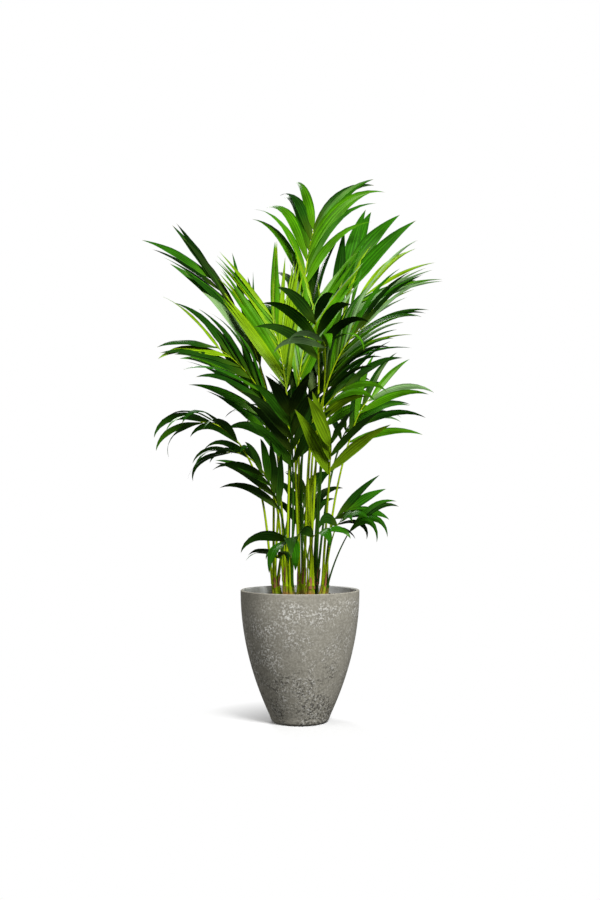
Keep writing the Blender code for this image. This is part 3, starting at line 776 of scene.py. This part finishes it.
def add_node(tree, kind, options=None, **inputs):
    """A node with some of its options set and its inputs given a value or linked. An input goes by its name,
    with an underscore for a space, or by its number, as in i0."""
    made = tree.nodes.new(kind)
    for key, value in (options or {}).items():
        setattr(made, key, value)
    for key, value in inputs.items():
        socket = made.inputs[int(key[1:]) if key[0] == "i" and key[1:].isdigit() else key.replace("_", " ")]
        if isinstance(value, bpy.types.NodeSocket):
            tree.links.new(value, socket)
        else:
            socket.default_value = value
    return made


def ramp(tree, value, low, high, start=0.0, end=1.0):
    """A value carried evenly from one range, low to high, to another, start to end, and held there."""
    inputs = {"Value": value, "From_Min": low, "From_Max": high, "To_Min": start, "To_Max": end}
    return add_node(tree, "ShaderNodeMapRange", **inputs).outputs["Result"]


def blend_colours(tree, share, first, second):
    """A mix of two colours, each a colour or a socket."""
    first, second = ((*c, 1.0) if not isinstance(c, bpy.types.NodeSocket) else c for c in (first, second))
    made = add_node(tree, "ShaderNodeMix", {"data_type": "RGBA"}, i0=share, i6=first, i7=second)
    return made.outputs[2]


def calculate(tree, operation, *values):
    """What one operation makes of up to three values."""
    inputs = {f"i{number}": value for number, value in enumerate(values)}
    return add_node(tree, "ShaderNodeMath", {"operation": operation}, **inputs).outputs[0]


def multiply(tree, first, second):
    """The product of two values."""
    return calculate(tree, "MULTIPLY", first, second)


def noise(tree, vector, scale, detail=3.0, roughness=0.55, stretch=None):
    """Noise on a vector that may first be stretched along its axes, with so many octaves of detail."""
    if stretch:
        vector = add_node(tree, "ShaderNodeMapping", Vector=vector, Scale=stretch).outputs[0]
    inputs = {"Vector": vector, "Scale": scale, "Detail": detail, "Roughness": roughness}
    return add_node(tree, "ShaderNodeTexNoise", **inputs).outputs["Fac"]


def place(tree):
    """A point's place in the piece's own axes, in metres."""
    return add_node(tree, "ShaderNodeTexCoord").outputs["Object"]


def height_of(tree, where):
    """A place's height."""
    return add_node(tree, "ShaderNodeSeparateXYZ", Vector=where).outputs[2]


def coat(tree, shader, colour, relief, strength, depth):
    """Gives the shader its colour and a fine relief, as deep as depth where the relief is 1."""
    tree.links.new(colour, shader.inputs["Base Color"])
    bump = add_node(tree, "ShaderNodeBump", Height=relief, Strength=strength, Distance=depth)
    tree.links.new(bump.outputs[0], shader.inputs["Normal"])


def mirror_green(shader, level):
    """Gives the shader a weak mirroring with the leaves' green sheen."""
    shader.inputs["Specular IOR Level"].default_value = level
    shader.inputs["Specular Tint"].default_value = GREEN_SHEEN


def shade(colour, share):
    """A colour times a share."""
    return tuple(channel * share for channel in colour)


def mixed(colour, other, share):
    """A colour with a share of another in it: (1 - share) own + share other."""
    return tuple((1 - share) * own + share * added for own, added in zip(colour, other))


def planter_finish(sizes):
    """Grey clay with patches of pale raised flecks, darker pits towards the foot, and a smooth band at the
    rim. Towards the foot the clay is painted paler: painted light that stands in for the light thrown up by
    the floor."""
    made, tree, shader = new_finish("fleck_clay", 0.82)
    where = place(tree)
    height = height_of(tree, where)
    grain = noise(tree, where, 150, 4, 0.7)
    worm = noise(tree, where, 130, 3, 0.6)
    patches = ramp(tree, noise(tree, where, 12, 4, 0.65), 0.44, 0.60, 0.12, 1.0)
    low_patches = ramp(tree, noise(tree, where, 10, 3, 0.6, (1.0, 1.0, 1.3)), 0.42, 0.56, 0.15, 1.0)
    below_band = ramp(tree, height, *BAND_FADE)
    fleck_share = multiply(tree, multiply(tree, patches, ramp(tree, grain, 0.515, 0.585)), below_band)
    foot_share = ramp(tree, height, *FOOT_FADE, 0.3, 1.0)
    pit_share = multiply(tree, multiply(tree, low_patches, ramp(tree, worm, 0.51, 0.58)), foot_share)
    broad = noise(tree, where, 5, 2)
    clay = blend_colours(tree, ramp(tree, broad, 0.35, 0.65), shade(sizes.clay, 0.9), shade(sizes.clay, 1.1))
    # Painted light: the clay turns paler towards the foot, in place of the light thrown up by the floor
    clay = blend_colours(tree, ramp(tree, height, 0.30, 0.0, 0.0, 0.8), clay, shade(sizes.clay, 1.45))
    clay = blend_colours(tree, ramp(tree, grain, 0.55, 0.40, 0.0, 0.5), clay, shade(sizes.clay, 0.6))
    colour = blend_colours(tree, multiply(tree, fleck_share, 0.9), clay, tuple(sizes.fleck))
    colour = blend_colours(tree, multiply(tree, pit_share, 0.85), colour, tuple(sizes.pit))
    relief = calculate(tree, "MULTIPLY_ADD", grain, 0.35, calculate(tree, "SUBTRACT", fleck_share, pit_share))
    coat(tree, shader, colour, relief, 0.45, 0.0012)
    return made


def inner_finish(sizes):
    """The smooth, slightly dusty inside."""
    made, tree, shader = new_finish("inner_clay", 0.7)
    dust = noise(tree, place(tree), 30, 4)
    colour = blend_colours(tree, dust, shade(sizes.inside, 0.86), shade(sizes.inside, 1.1))
    coat(tree, shader, colour, dust, 0.1, 0.0005)
    return made


def soil_finish(name, dark, pale, fineness):
    """Damp earth, darker and paler by the crumb."""
    made, tree, shader = new_finish(name, 0.95)
    grain = noise(tree, place(tree), fineness, 5, 0.7)
    colour = blend_colours(tree, ramp(tree, grain, 0.42, 0.66), tuple(dark), tuple(pale))
    coat(tree, shader, colour, grain, 0.8, 0.003)
    return made


def fibre_finish(name, dark, pale):
    """Dry fibre in strands that run up the stem, with darker blotches."""
    made, tree, shader = new_finish(name, 0.75)
    where = place(tree)
    strands = noise(tree, where, 1.0, 4, 0.65, (520, 520, 26))
    blotch = noise(tree, where, 46, 3)
    colour = blend_colours(tree, ramp(tree, strands, 0.36, 0.66), shade(dark, 0.6), tuple(pale))
    colour = blend_colours(tree, ramp(tree, blotch, 0.45, 0.7, 0.0, 0.7), colour, shade(dark, 1.2))
    coat(tree, shader, colour, strands, 0.6, 0.0008)
    return made


def stalk_finish(name, green, husk):
    """A green stalk with fine lengthwise streaks and darker blotches. It turns brown near the soil."""
    made, tree, shader = new_finish(name, 0.42)
    mirror_green(shader, 0.2)
    where = place(tree)
    height = height_of(tree, where)
    streaks = noise(tree, where, 1.0, 3, 0.6, (420, 420, 9))
    blotch = noise(tree, where, 24, 3)
    colour = blend_colours(tree, ramp(tree, streaks, 0.34, 0.66), shade(green, 0.62), shade(green, 1.16))
    colour = blend_colours(tree, ramp(tree, blotch, 0.5, 0.72, 0.0, 0.55), colour, shade(green, 0.5))
    uneven_height = calculate(tree, "MULTIPLY_ADD", blotch, -0.10, height)
    colour = blend_colours(tree, ramp(tree, uneven_height, *DRY_FADE, 0.8, 0.0), colour, tuple(husk))
    coat(tree, shader, colour, streaks, 0.25, 0.0004)
    return made


def leaf_finish(name, green, roughness, vein):
    """A blade with fine veins along it, a paler midrib, cloudy light and dark greens, a yellower root and a
    dry point. The blade's own two numbers are its place across, 0 to 1, and along, root to point."""
    made, tree, shader = new_finish(name, roughness)
    mirror_green(shader, 0.13)
    blade = add_node(tree, "ShaderNodeUVMap", {"uv_map": "blade"}).outputs[0]
    parts = add_node(tree, "ShaderNodeSeparateXYZ", Vector=blade)
    across, along = parts.outputs[0], parts.outputs[1]
    veins = noise(tree, blade, 1.0, 2, 0.6, (9, 0.6, 1.0))
    clouds = noise(tree, place(tree), 11, 3)
    from_middle = calculate(tree, "ABSOLUTE", calculate(tree, "SUBTRACT", across, 0.5))
    colour = blend_colours(tree, ramp(tree, clouds, 0.34, 0.66), shade(green, 0.66), shade(green, 1.3))
    colour = blend_colours(tree, ramp(tree, veins, 0.46, 0.60, 0.0, 0.7), colour, shade(green, 0.36))
    colour = blend_colours(tree, ramp(tree, veins, 0.45, 0.36, 0.0, 0.6), colour, shade(green, 2.1))
    yellow = mixed(green, ROOT_YELLOW, 0.4)
    colour = blend_colours(tree, ramp(tree, along, 0.35, 0.0, 0.0, 0.5), colour, yellow)
    colour = blend_colours(tree, ramp(tree, from_middle, 0.035, 0.015, 0.0, 0.5), colour, vein)
    colour = blend_colours(tree, ramp(tree, along, 0.955, 1.0, 0.0, 0.8), colour, DRY_POINT)
    coat(tree, shader, colour, veins, 0.3, 0.0006)
    return made


def floor_finish(sizes):
    """A pale floor that takes shadows at the planter and turns into the studio's even white further out."""
    made, tree, shader = new_finish("pale_floor", 0.9)
    shader.inputs["Base Color"].default_value = (*sizes.floor, 1.0)
    shader.inputs["Specular IOR Level"].default_value = 0.1
    away = add_node(tree, "ShaderNodeVectorMath", {"operation": "LENGTH"}, i0=place(tree)).outputs["Value"]
    glow = add_node(tree, "ShaderNodeEmission", Color=WHITE, Strength=1.0).outputs[0]
    share = ramp(tree, away, *FLOOR_FADE)
    mix = add_node(tree, "ShaderNodeMixShader", i0=share, i1=shader.outputs[0], i2=glow)
    tree.links.new(mix.outputs[0], tree.nodes["Material Output"].inputs["Surface"])
    return made


# Operators, one for each piece or group of like pieces


class PALM_OT_planter(bpy.types.Operator):
    """Turns the planter with its rounded foot and rim and its flecked clay"""

    bl_idname = "palm.planter"
    bl_label = "Planter"

    def execute(self, context):
        sizes = settings("planter")
        foot_edge = (planter_radius(FOOT_ROUNDING) - FOOT_ROUNDING, FOOT_ROUNDING)
        foot = arc(foot_edge, FOOT_ROUNDING, -90, -12, FOOT_RINGS)
        top = PLANTER_HEIGHT - sizes.rounding
        outside = [(planter_radius(z), z) for z in np.linspace(FOOT_ROUNDING * 1.4, top, WALL_RINGS)]
        outer_edge = (planter_radius(top) - sizes.rounding, top)
        inner_edge = (planter_radius(top) - WALL + sizes.rounding, top)
        rim = arc(outer_edge, sizes.rounding, 8, 90, RIM_RINGS)
        rim += arc(inner_edge, sizes.rounding, 90, 172, RIM_RINGS)
        inside = [(planter_radius(z) - WALL, z) for z in np.linspace(top, FLOOR, INSIDE_RINGS)]
        profile = [(0, 0), *foot, *outside, *rim, *inside, (0, FLOOR)]
        points, faces = turned(profile, sizes.sides)
        if abs(points[:, 2].max() - PLANTER_TOP) > 0.001:
            raise ValueError("The planter isn't as tall as its solid")
        # The inner wall's faces and floor have the smooth finish
        rows = np.repeat(np.arange(len(profile) - 3), sizes.sides)
        within = rows >= len(foot) + len(outside) + len(rim) - 4
        indices = np.concatenate([within, np.zeros(sizes.sides), np.ones(sizes.sides)])
        finishes = (planter_finish(sizes), inner_finish(sizes))
        add_piece("planter_wall", points, faces, finishes, ("planter",), "planter", indices, sharp=60)
        return {"FINISHED"}


def soil_radius(z):
    """How far the soil reaches at a height: up to the planter's wall, less a clearance."""
    return planter_radius(z) - WALL - SOIL_CLEARANCE


def soil_height(xy):
    """The soil's surface: level as far as SOIL_PLATEAU from the axis, then falling evenly to the edge, with
    two sizes of lumps."""
    radius = np.linalg.norm(xy, axis=-1)
    edge = soil_radius(SOIL_LEVEL)
    fall = ((radius - SOIL_PLATEAU) / (edge - SOIL_PLATEAU)).clip(0, 1) * SOIL_EDGE_DROP
    flat = np.concatenate([xy, np.zeros((len(xy), 1))], axis=1)
    lumps = 0.6 * waves(flat, 5, 0.035) + 0.4 * waves(flat, 6, 0.012)
    return SOIL_LEVEL - fall + settings("soil").lump * lumps


def soil_bed():
    """The soil as a turned profile up the planter's wall and in to the axis, whose upper points then follow
    soil_height."""
    heights = np.linspace(FLOOR + SEAT_GAP, SOIL_LEVEL - SOIL_EDGE_DROP, SOIL_SIDE_RINGS)
    side = [(soil_radius(z), z) for z in heights]
    top = [(r, SOIL_LEVEL) for r in np.linspace(side[-1][0] - 0.001, 0.003, SOIL_TOP_RINGS)]
    points, faces = turned([(0, FLOOR + SEAT_GAP), *side, *top, (0, SOIL_LEVEL)], SOIL_SIDES)
    upper = np.arange(len(points)) >= len(side) * SOIL_SIDES
    upper[-2] = False
    points[upper, 2] = soil_height(points[upper, :2])
    return points, faces


def crumb_ball():
    """A ball with twelve corners, those of three golden rectangles across each other, and twenty triangles
    between corners that are neighbours, each turned to face out."""
    golden = (1 + 5**0.5) / 2
    corner = np.array([(s, t * golden, 0) for s in (-1, 1) for t in (-1, 1)], dtype=float)
    ball = unit(np.concatenate([corner, np.roll(corner, 1, axis=1), np.roll(corner, 2, axis=1)]))
    linked = np.linalg.norm(ball[:, None] - ball[None], axis=-1) < 1.2
    triangles = []
    for a, b, c in combinations(range(len(ball)), 3):
        if linked[a, b] and linked[b, c] and linked[a, c]:
            outward = np.dot(np.cross(ball[b] - ball[a], ball[c] - ball[a]), ball[a]) > 0
            triangles.append((a, b, c) if outward else (a, c, b))
    return ball, np.array(triangles)


class PALM_OT_soil(bpy.types.Operator):
    """Fills the planter with lumpy soil and loose crumbs"""

    bl_idname = "palm.soil"
    bl_label = "Soil"

    def execute(self, context):
        sizes = settings("soil")
        earth = soil_finish("damp_soil", sizes.earth, shade(sizes.bark, 0.55), 320)
        add_piece("soil_bed", *soil_bed(), (earth,), ("soil",), "soil")
        # Each crumb is the ball at an even random place on the soil, drawn in by a share along each axis
        ball, triangles = crumb_ball()
        count = sizes.crumbs
        chance = np.random.default_rng(11)
        turn = chance.uniform(0, 2 * np.pi, count)
        reach = (planter_radius(SOIL_LEVEL) - WALL - CRUMB_MARGIN) * np.sqrt(chance.uniform(0, 1, count))
        spots = np.stack([reach * np.cos(turn), reach * np.sin(turn)], axis=-1)
        spots = np.concatenate([spots, soil_height(spots)[:, None]], axis=1)
        scales = sizes.crumb_size * chance.uniform(0.3, 1.0, (count, 1)) ** 1.5
        shapes = scales[:, :, None] * chance.uniform(0.55, 1.0, (count, len(ball), 3))
        points = (spots[:, None] + ball * shapes).reshape(-1, 3)
        faces = (triangles[None] + len(ball) * np.arange(count)[:, None, None]).reshape(-1, 3).tolist()
        finishes = (
            soil_finish("dark_crumbs", shade(sizes.earth, 0.8), sizes.earth, 200),
            soil_finish("bark_crumbs", sizes.earth, sizes.bark, 160),
        )
        indices = np.repeat(chance.uniform(0, 1, count) > DARK_CRUMBS, len(triangles))
        add_piece("soil_crumbs", points, faces, finishes, (), "soil", indices)
        return {"FINISHED"}


def bundle_outline(angle, turns, ring, rod):
    """How far a bundle of rods on a ring reaches on each ray: ring cos(d) + sqrt(rod^2 - ring^2 sin^2(d))
    for the ray's angle d from a rod, the farthest of them, and a round core between them."""
    away = angle[:, None] - np.array(turns)
    left = rod**2 - (ring * np.sin(away)) ** 2
    reach = np.where((left > 0) & (np.cos(away) > 0), ring * np.cos(away) + np.sqrt(left.clip(0)), 0)
    return np.maximum(reach.max(axis=1), 0.95 * ring)


def sheath(foot, way, facing, height, radius, wall, wide):
    """A dry sheath: a part of a tube round a stalk's foot, r = radius (1 - 0.35 t), that rises to a point,
    z = height t (1 - (a / wide)^2)^0.7, and curls away from the stalk at its top."""
    turn = np.linspace(-1, 1, SHEATH_GRID[1])[None, :]
    rise = np.linspace(0, 1, SHEATH_GRID[0])[:, None]
    angle = facing + wide * turn
    lift = height * rise * (0.08 + 0.92 * (1 - turn**2) ** 0.7)
    reach = radius * (1 - 0.35 * rise) + 0.25 * radius * rise**4
    flat = np.stack([reach * np.cos(angle), reach * np.sin(angle), 0 * angle * rise], axis=-1)
    return shell(foot + flat + lift[..., None] * way, wall)


def stalk_bundle(stem, turns, sizes):
    """The stalk bases that make up a stem: the bundle's outline carried up the stem's line, as wide as the
    stem is there by its width at the top."""
    angle = angles_round(sizes.sides)
    path, radii = stem_path(stem, STEM_RINGS - 1)
    reach = bundle_outline(angle, turns, STALK_RING, sizes.rod)
    round_way = np.stack([np.cos(angle), np.sin(angle), 0 * angle], axis=-1)
    rings = path[:, None] + (reach * (radii / radii[-1])[:, None])[..., None] * round_way
    return capped(rings, path[0], path[-1])


class PALM_OT_stems(bpy.types.Operator):
    """Builds the short stems, each a bundle of stalk bases with dry sheaths round some stalks' feet"""

    bl_idname = "palm.stems"
    bl_label = "Stems"

    def execute(self, context):
        sizes, stalk = settings("stem"), settings("stalk")
        husk = shade(sizes.husk, 0.6)
        # The stalk bases in painted light, the dry husk, and the stalk bases in painted shade
        finishes = (
            stalk_finish("stalk_base", shade(stalk.lit, 0.85), husk),
            fibre_finish("dry_husk", shade(sizes.husk, 0.4), tuple(sizes.husk)),
            stalk_finish("shaded_stalk_base", stalk.shaded, husk),
        )
        for stem in STEMS:
            chance = random.Random("sheath " + stem.name)
            top = stem_top(stem)
            own = [frond for frond in ALL_FRONDS if STEMS[frond.stem] is stem]
            feet = [stalk_foot(frond) for frond in own]
            turns = [math.atan2(foot[1] - top[1], foot[0] - top[0]) for foot in feet]
            bundle = stalk_bundle(stem, turns, sizes)
            shapes = [bundle]
            for frond, foot, out in zip(own, feet, turns):
                if chance.random() > sizes.sheathed:
                    continue
                line = frond_lines(frond)[0]([0.0, 0.06])
                height = sizes.sheath_height * chance.uniform(0.6, 1.25)
                facing = out + chance.uniform(-0.9, 0.9)
                low = foot - np.array((0, 0, SHEATH_DROP))
                way = unit(line[1] - line[0])
                radius, wide = frond.thick + SHEATH_GAP, chance.uniform(0.6, 1.1)
                shapes.append(sheath(low, way, facing, height, radius, sizes.sheath_wall, wide))
            points, faces = join_shapes(shapes)
            # A face of the bundle has the green of the stalk that it is nearest to, with that stalk's painted
            # light and shade, and a sheath is dry
            middles = angles_round(sizes.sides) + np.pi / sizes.sides
            nearest = np.cos(middles[:, None] - np.array(turns)).argmax(axis=1)
            in_shade = np.array([frond.name in SHADED_STALKS for frond in own])[nearest]
            dry = np.ones(len(faces) - len(bundle[1]))
            indices = np.concatenate([2 * np.tile(in_shade, STEM_RINGS + 1), dry])
            name = "sheathed_stem_" + stem.name
            add_piece(name, points, faces, finishes, ("stem_" + stem.name,), "stem", indices, sharp=50)
        return {"FINISHED"}


def node_names(frond, part):
    """The solids that a frond's stalk or blade stands for: a small frond is one solid."""
    return (part + "_" + frond.name,) if frond in LARGE_FRONDS else ("frond_" + frond.name,)


class PALM_OT_stalks(bpy.types.Operator):
    """Builds each frond's grooved stalk and its rib as one smooth tube"""

    bl_idname = "palm.stalks"
    bl_label = "Stalks and ribs"

    def execute(self, context):
        sizes = settings("stalk")
        husk = shade(settings("stem").husk, 0.6)
        # Two copies of the stalk finish: one green with painted light, one with painted shade, dealt by
        # SHADED_STALKS
        lit = stalk_finish("lit_stalk", sizes.lit, husk)
        shaded = stalk_finish("shaded_stalk", sizes.shaded, husk)
        for frond in ALL_FRONDS:
            stalk, rib, _ = frond_lines(frond)
            stalk_share, rib_share = np.linspace(0, 1, STALK_RINGS), np.linspace(0, 1, RIB_RINGS)[1:]
            path = np.concatenate([stalk(stalk_share), rib(rib_share)])
            ways = unit(np.gradient(path, axis=0))
            ways[0] = UP
            radii = np.concatenate([stalk_radii(frond, stalk_share), rib_radii(frond, rib_share)])
            # The foot swells by 0.45 exp(-t / 0.03)
            radii *= 1 + 0.45 * np.exp(-np.concatenate([stalk_share, 1 + rib_share]) / 0.03)
            points, faces = tube(path, ways, radii, sizes.sides, sizes.groove)
            finishes = (shaded if frond.name in SHADED_STALKS else lit,)
            name = "stem_rib_" + frond.name
            add_piece(name, points, faces, finishes, node_names(frond, "stalk"), "stalk", sharp=60)
        return {"FINISHED"}


# Shares of a leaflet's length, then across: left edge, ridge, right edge and the underside below the ridge
STATIONS = np.array((0.0, 0.06, 0.14, 0.24, 0.34, 0.44, 0.54, 0.64, 0.74, 0.84, 0.92, 0.97))
ACROSS = np.array((-1.0, 0.0, 1.0, 0.0))
ABOVE = np.array((0.0, 1.0, 0.0, 1.0))


def leaflet_surface(plan, change, chance):
    """A folded blade as rings of four points: middle + half width * c * across + height * upper, with the
    height (0, 1, 0) of the fold, less the blade's thickness under the ridge, and edges that wave as
    sin(2 pi n s)."""
    sizes = settings("leaflet")
    middle, wide, upper = leaflet_frames(plan, change, np.append(STATIONS, 1.0))
    half = leaflet_half_width(STATIONS, plan["width"])
    share = 2 * half / plan["width"]
    height = (sizes.fold * plan["length"] * np.maximum(share, 0.12))[:, None] * ABOVE
    height[:, 3] -= sizes.blade * np.maximum(share, 0.3)
    beat = 2 * np.pi * (chance.uniform(1.5, 3.0) * STATIONS + chance.random())
    height[:, 0] += sizes.ripple * half * np.sin(beat)
    height[:, 2] += sizes.ripple * half * np.sin(beat + chance.uniform(1, 5))
    sideways = (half[:, None] * ACROSS)[..., None] * wide[:-1, None]
    ring = middle[:-1, None] + sideways + height[..., None] * upper[:-1, None]
    return np.concatenate([ring.reshape(-1, 3), middle[-1:]])


def leaflet_faces():
    """One leaflet's quads, the fan at its point and the face at its root, all facing out. A quad below
    starts at the corner where the one above it starts, so both are split on the same diagonal. The second
    list tells the faces of the underside."""
    rows, columns = len(STATIONS), len(ACROSS)
    faces, under = [], []
    for row in range(rows - 1):
        low, high = row * columns, (row + 1) * columns
        faces += [(low, high, high + 1, low + 1), (low + 1, high + 1, high + 2, low + 2)]
        faces += [(low, low + 3, high + 3, high), (low + 3, low + 2, high + 2, high + 3)]
        under += [False, False, True, True]
    last, tip = (rows - 1) * columns, rows * columns
    faces += [(last, tip, last + 1), (last + 1, tip, last + 2)]
    faces += [(last, last + 3, tip), (last + 3, last + 2, tip)]
    under += [False, False, True, True, True]
    faces.append((0, 1, 2, 3))
    return faces, np.array(under)


def between(first, second):
    """The plan of a leaflet halfway between two neighbours: each of its numbers is the mean of theirs."""
    plan = {key: (first[key] + second[key]) / 2 for key in first if key != "frame"}
    point, *ways = ((one + other) / 2 for one, other in zip(first["frame"], second["frame"]))
    plan["frame"] = (point, *(unit(way) for way in ways))
    return plan


def finer_leaflets(placed, slimness):
    """The leaflets made slimmer, with one more between each two neighbours of a hand."""
    made = list(placed)
    for hand in (1, -1):
        own = [(plan, change) for plan, change in placed if plan["hand"] == hand]
        for (first, change), (second, _) in zip(own, own[1:]):
            made.append((between(first, second), change))
    return [({**plan, "width": plan["width"] * slimness}, change) for plan, change in made]


class PALM_OT_leaflets(bpy.types.Operator):
    """Builds every frond's leaflets as thin folded blades in the greens dealt to the frond"""

    bl_idname = "palm.leaflets"
    bl_label = "Leaflets"

    def execute(self, context):
        sizes = settings("leaflet")
        finishes = []
        for green, paler in zip(GREENS, MIDRIBS):
            colour = tuple(getattr(sizes, green))
            finishes.append(leaf_finish("leaf_" + green, colour, sizes.gloss, shade(colour, paler)))
        # The lower side is a little paler and rougher, with a softer midrib
        for green in GREENS:
            colour = mixed(getattr(sizes, green), sizes.underside, 0.08)
            finishes.append(leaf_finish("underside_" + green, colour, 0.5, shade(colour, 1.5)))
        template, under = leaflet_faces()
        turned_over = [face[:1] + face[:0:-1] for face in template]
        count = len(STATIONS) * len(ACROSS) + 1
        blade_uv = [np.tile((ACROSS + 1) / 2, len(STATIONS)), np.repeat(STATIONS, len(ACROSS))]
        blade_uv = np.concatenate([np.stack(blade_uv, axis=-1), [(0.5, 1.0)]])
        all_placed = place_leaflets()
        for frond in ALL_FRONDS:
            placed = all_placed[frond.name]
            if frond.name in FINER:
                placed = finer_leaflets(placed, sizes.slimness)
            chance = random.Random("green " + frond.name)
            deal = DEALS.get(frond.name, USUAL_DEAL).split()
            points, faces, indices = [], [], []
            for number, (plan, change) in enumerate(placed):
                own = template if plan["hand"] > 0 else turned_over
                points.append(leaflet_surface(plan, change, chance))
                faces += [tuple(number * count + corner for corner in face) for face in own]
                indices.append(GREENS.index(chance.choice(deal)) + under * len(GREENS))
            add_piece(
                "leaflets_" + frond.name,
                np.concatenate(points),
                faces,
                finishes,
                node_names(frond, "frond"),
                "leaf",
                np.concatenate(indices),
                np.tile(blade_uv, (len(placed), 1)),
                sharp=16,
            )
        return {"FINISHED"}


def add_light(name, location, power, size):
    """A square light that shines on the middle of the crown."""
    light = bpy.data.lights.new(name, "AREA")
    light.energy, light.size = power, size
    made = bpy.data.objects.new(name, light)
    bpy.context.scene.collection.objects.link(made)
    made.location = location
    made.rotation_mode = "QUATERNION"
    made.rotation_quaternion = (Vector(CROWN_MIDDLE) - made.location).to_track_quat("-Z", "Y")


class PALM_OT_stage(bpy.types.Operator):
    """Puts the palm on a pale floor in soft light, with the camera at the photograph's angle"""

    bl_idname = "palm.stage"
    bl_label = "Floor, light and camera"

    def execute(self, context):
        sizes = settings("stage")
        scene = bpy.context.scene
        corners = [(sizes.reach * x, sizes.reach * y, 0) for x, y in ((-1, -1), (1, -1), (1, 1), (-1, 1))]
        mesh = bpy.data.meshes.new("floor")
        mesh.from_pydata(corners, [], [(0, 1, 2, 3)])
        mesh.materials.append(floor_finish(sizes))
        floor = bpy.data.objects.new("floor", mesh)
        scene.collection.objects.link(floor)
        floor.visible_diffuse = False
        floor.visible_glossy = False
        world = bpy.data.worlds.new("studio")
        world.use_nodes = True
        tree = world.node_tree
        # The sky is plain white to the camera and lights the palm only a little
        ray = add_node(tree, "ShaderNodeLightPath").outputs["Is Camera Ray"]
        strength = ramp(tree, ray, 0.0, 1.0, sizes.sky, 1.0)
        tree.links.new(strength, tree.nodes["Background"].inputs["Strength"])
        tree.nodes["Background"].inputs["Color"].default_value = WHITE
        scene.world = world
        for name, (location, width) in LIGHTS.items():
            add_light(name + "_light", location, getattr(sizes, name), width)
        camera = bpy.data.objects.new("camera", bpy.data.cameras.new("camera"))
        scene.collection.objects.link(camera)
        camera.location = (0.0, -sizes.distance, sizes.height)
        camera.rotation_euler = (math.pi / 2 + sizes.tilt, 0.0, 0.0)
        camera.data.sensor_fit = "VERTICAL"
        camera.data.sensor_height = sizes.sensor
        camera.data.lens = sizes.lens
        camera.data.dof.use_dof = False
        scene.camera = camera
        scene.view_settings.view_transform = "Standard"
        return {"FINISHED"}


OPERATORS = (PALM_OT_planter, PALM_OT_soil, PALM_OT_stems, PALM_OT_stalks, PALM_OT_leaflets, PALM_OT_stage)
GROUPS = {
    "planter": PlanterSettings,
    "soil": SoilSettings,
    "stem": StemSettings,
    "stalk": StalkSettings,
    "leaflet": LeafletSettings,
    "stage": StageSettings,
}


class PALM_PT_sidebar(bpy.types.Panel):
    """The sizes and colours of the palm, and a button for each group of pieces"""

    bl_idname = "PALM_PT_sidebar"
    bl_label = "Kentia palm"
    bl_space_type = "VIEW_3D"
    bl_region_type = "UI"
    bl_category = "Palm"

    def draw(self, context):
        for (group, kind), operator in zip(GROUPS.items(), OPERATORS):
            box = self.layout.box()
            box.label(text=operator.bl_label)
            for key in kind.__annotations__:
                box.prop(getattr(context.scene, "palm_" + group), key)
            box.operator(operator.bl_idname)


def register():
    """Adds the settings, the operators and the sidebar panel."""
    for made in (*GROUPS.values(), *OPERATORS, PALM_PT_sidebar):
        bpy.utils.register_class(made)
    for group, kind in GROUPS.items():
        setattr(bpy.types.Scene, "palm_" + group, PointerProperty(type=kind))


def unregister():
    """Takes them away again."""
    for group in GROUPS:
        delattr(bpy.types.Scene, "palm_" + group)
    for made in (PALM_PT_sidebar, *reversed(OPERATORS), *reversed(GROUPS.values())):
        bpy.utils.unregister_class(made)


def main():
    """Builds every piece and the stage in order."""
    register()
    for operator in OPERATORS:
        group, name = operator.bl_idname.split(".")
        getattr(getattr(bpy.ops, group), name)()


if __name__ == "__main__":
    main()
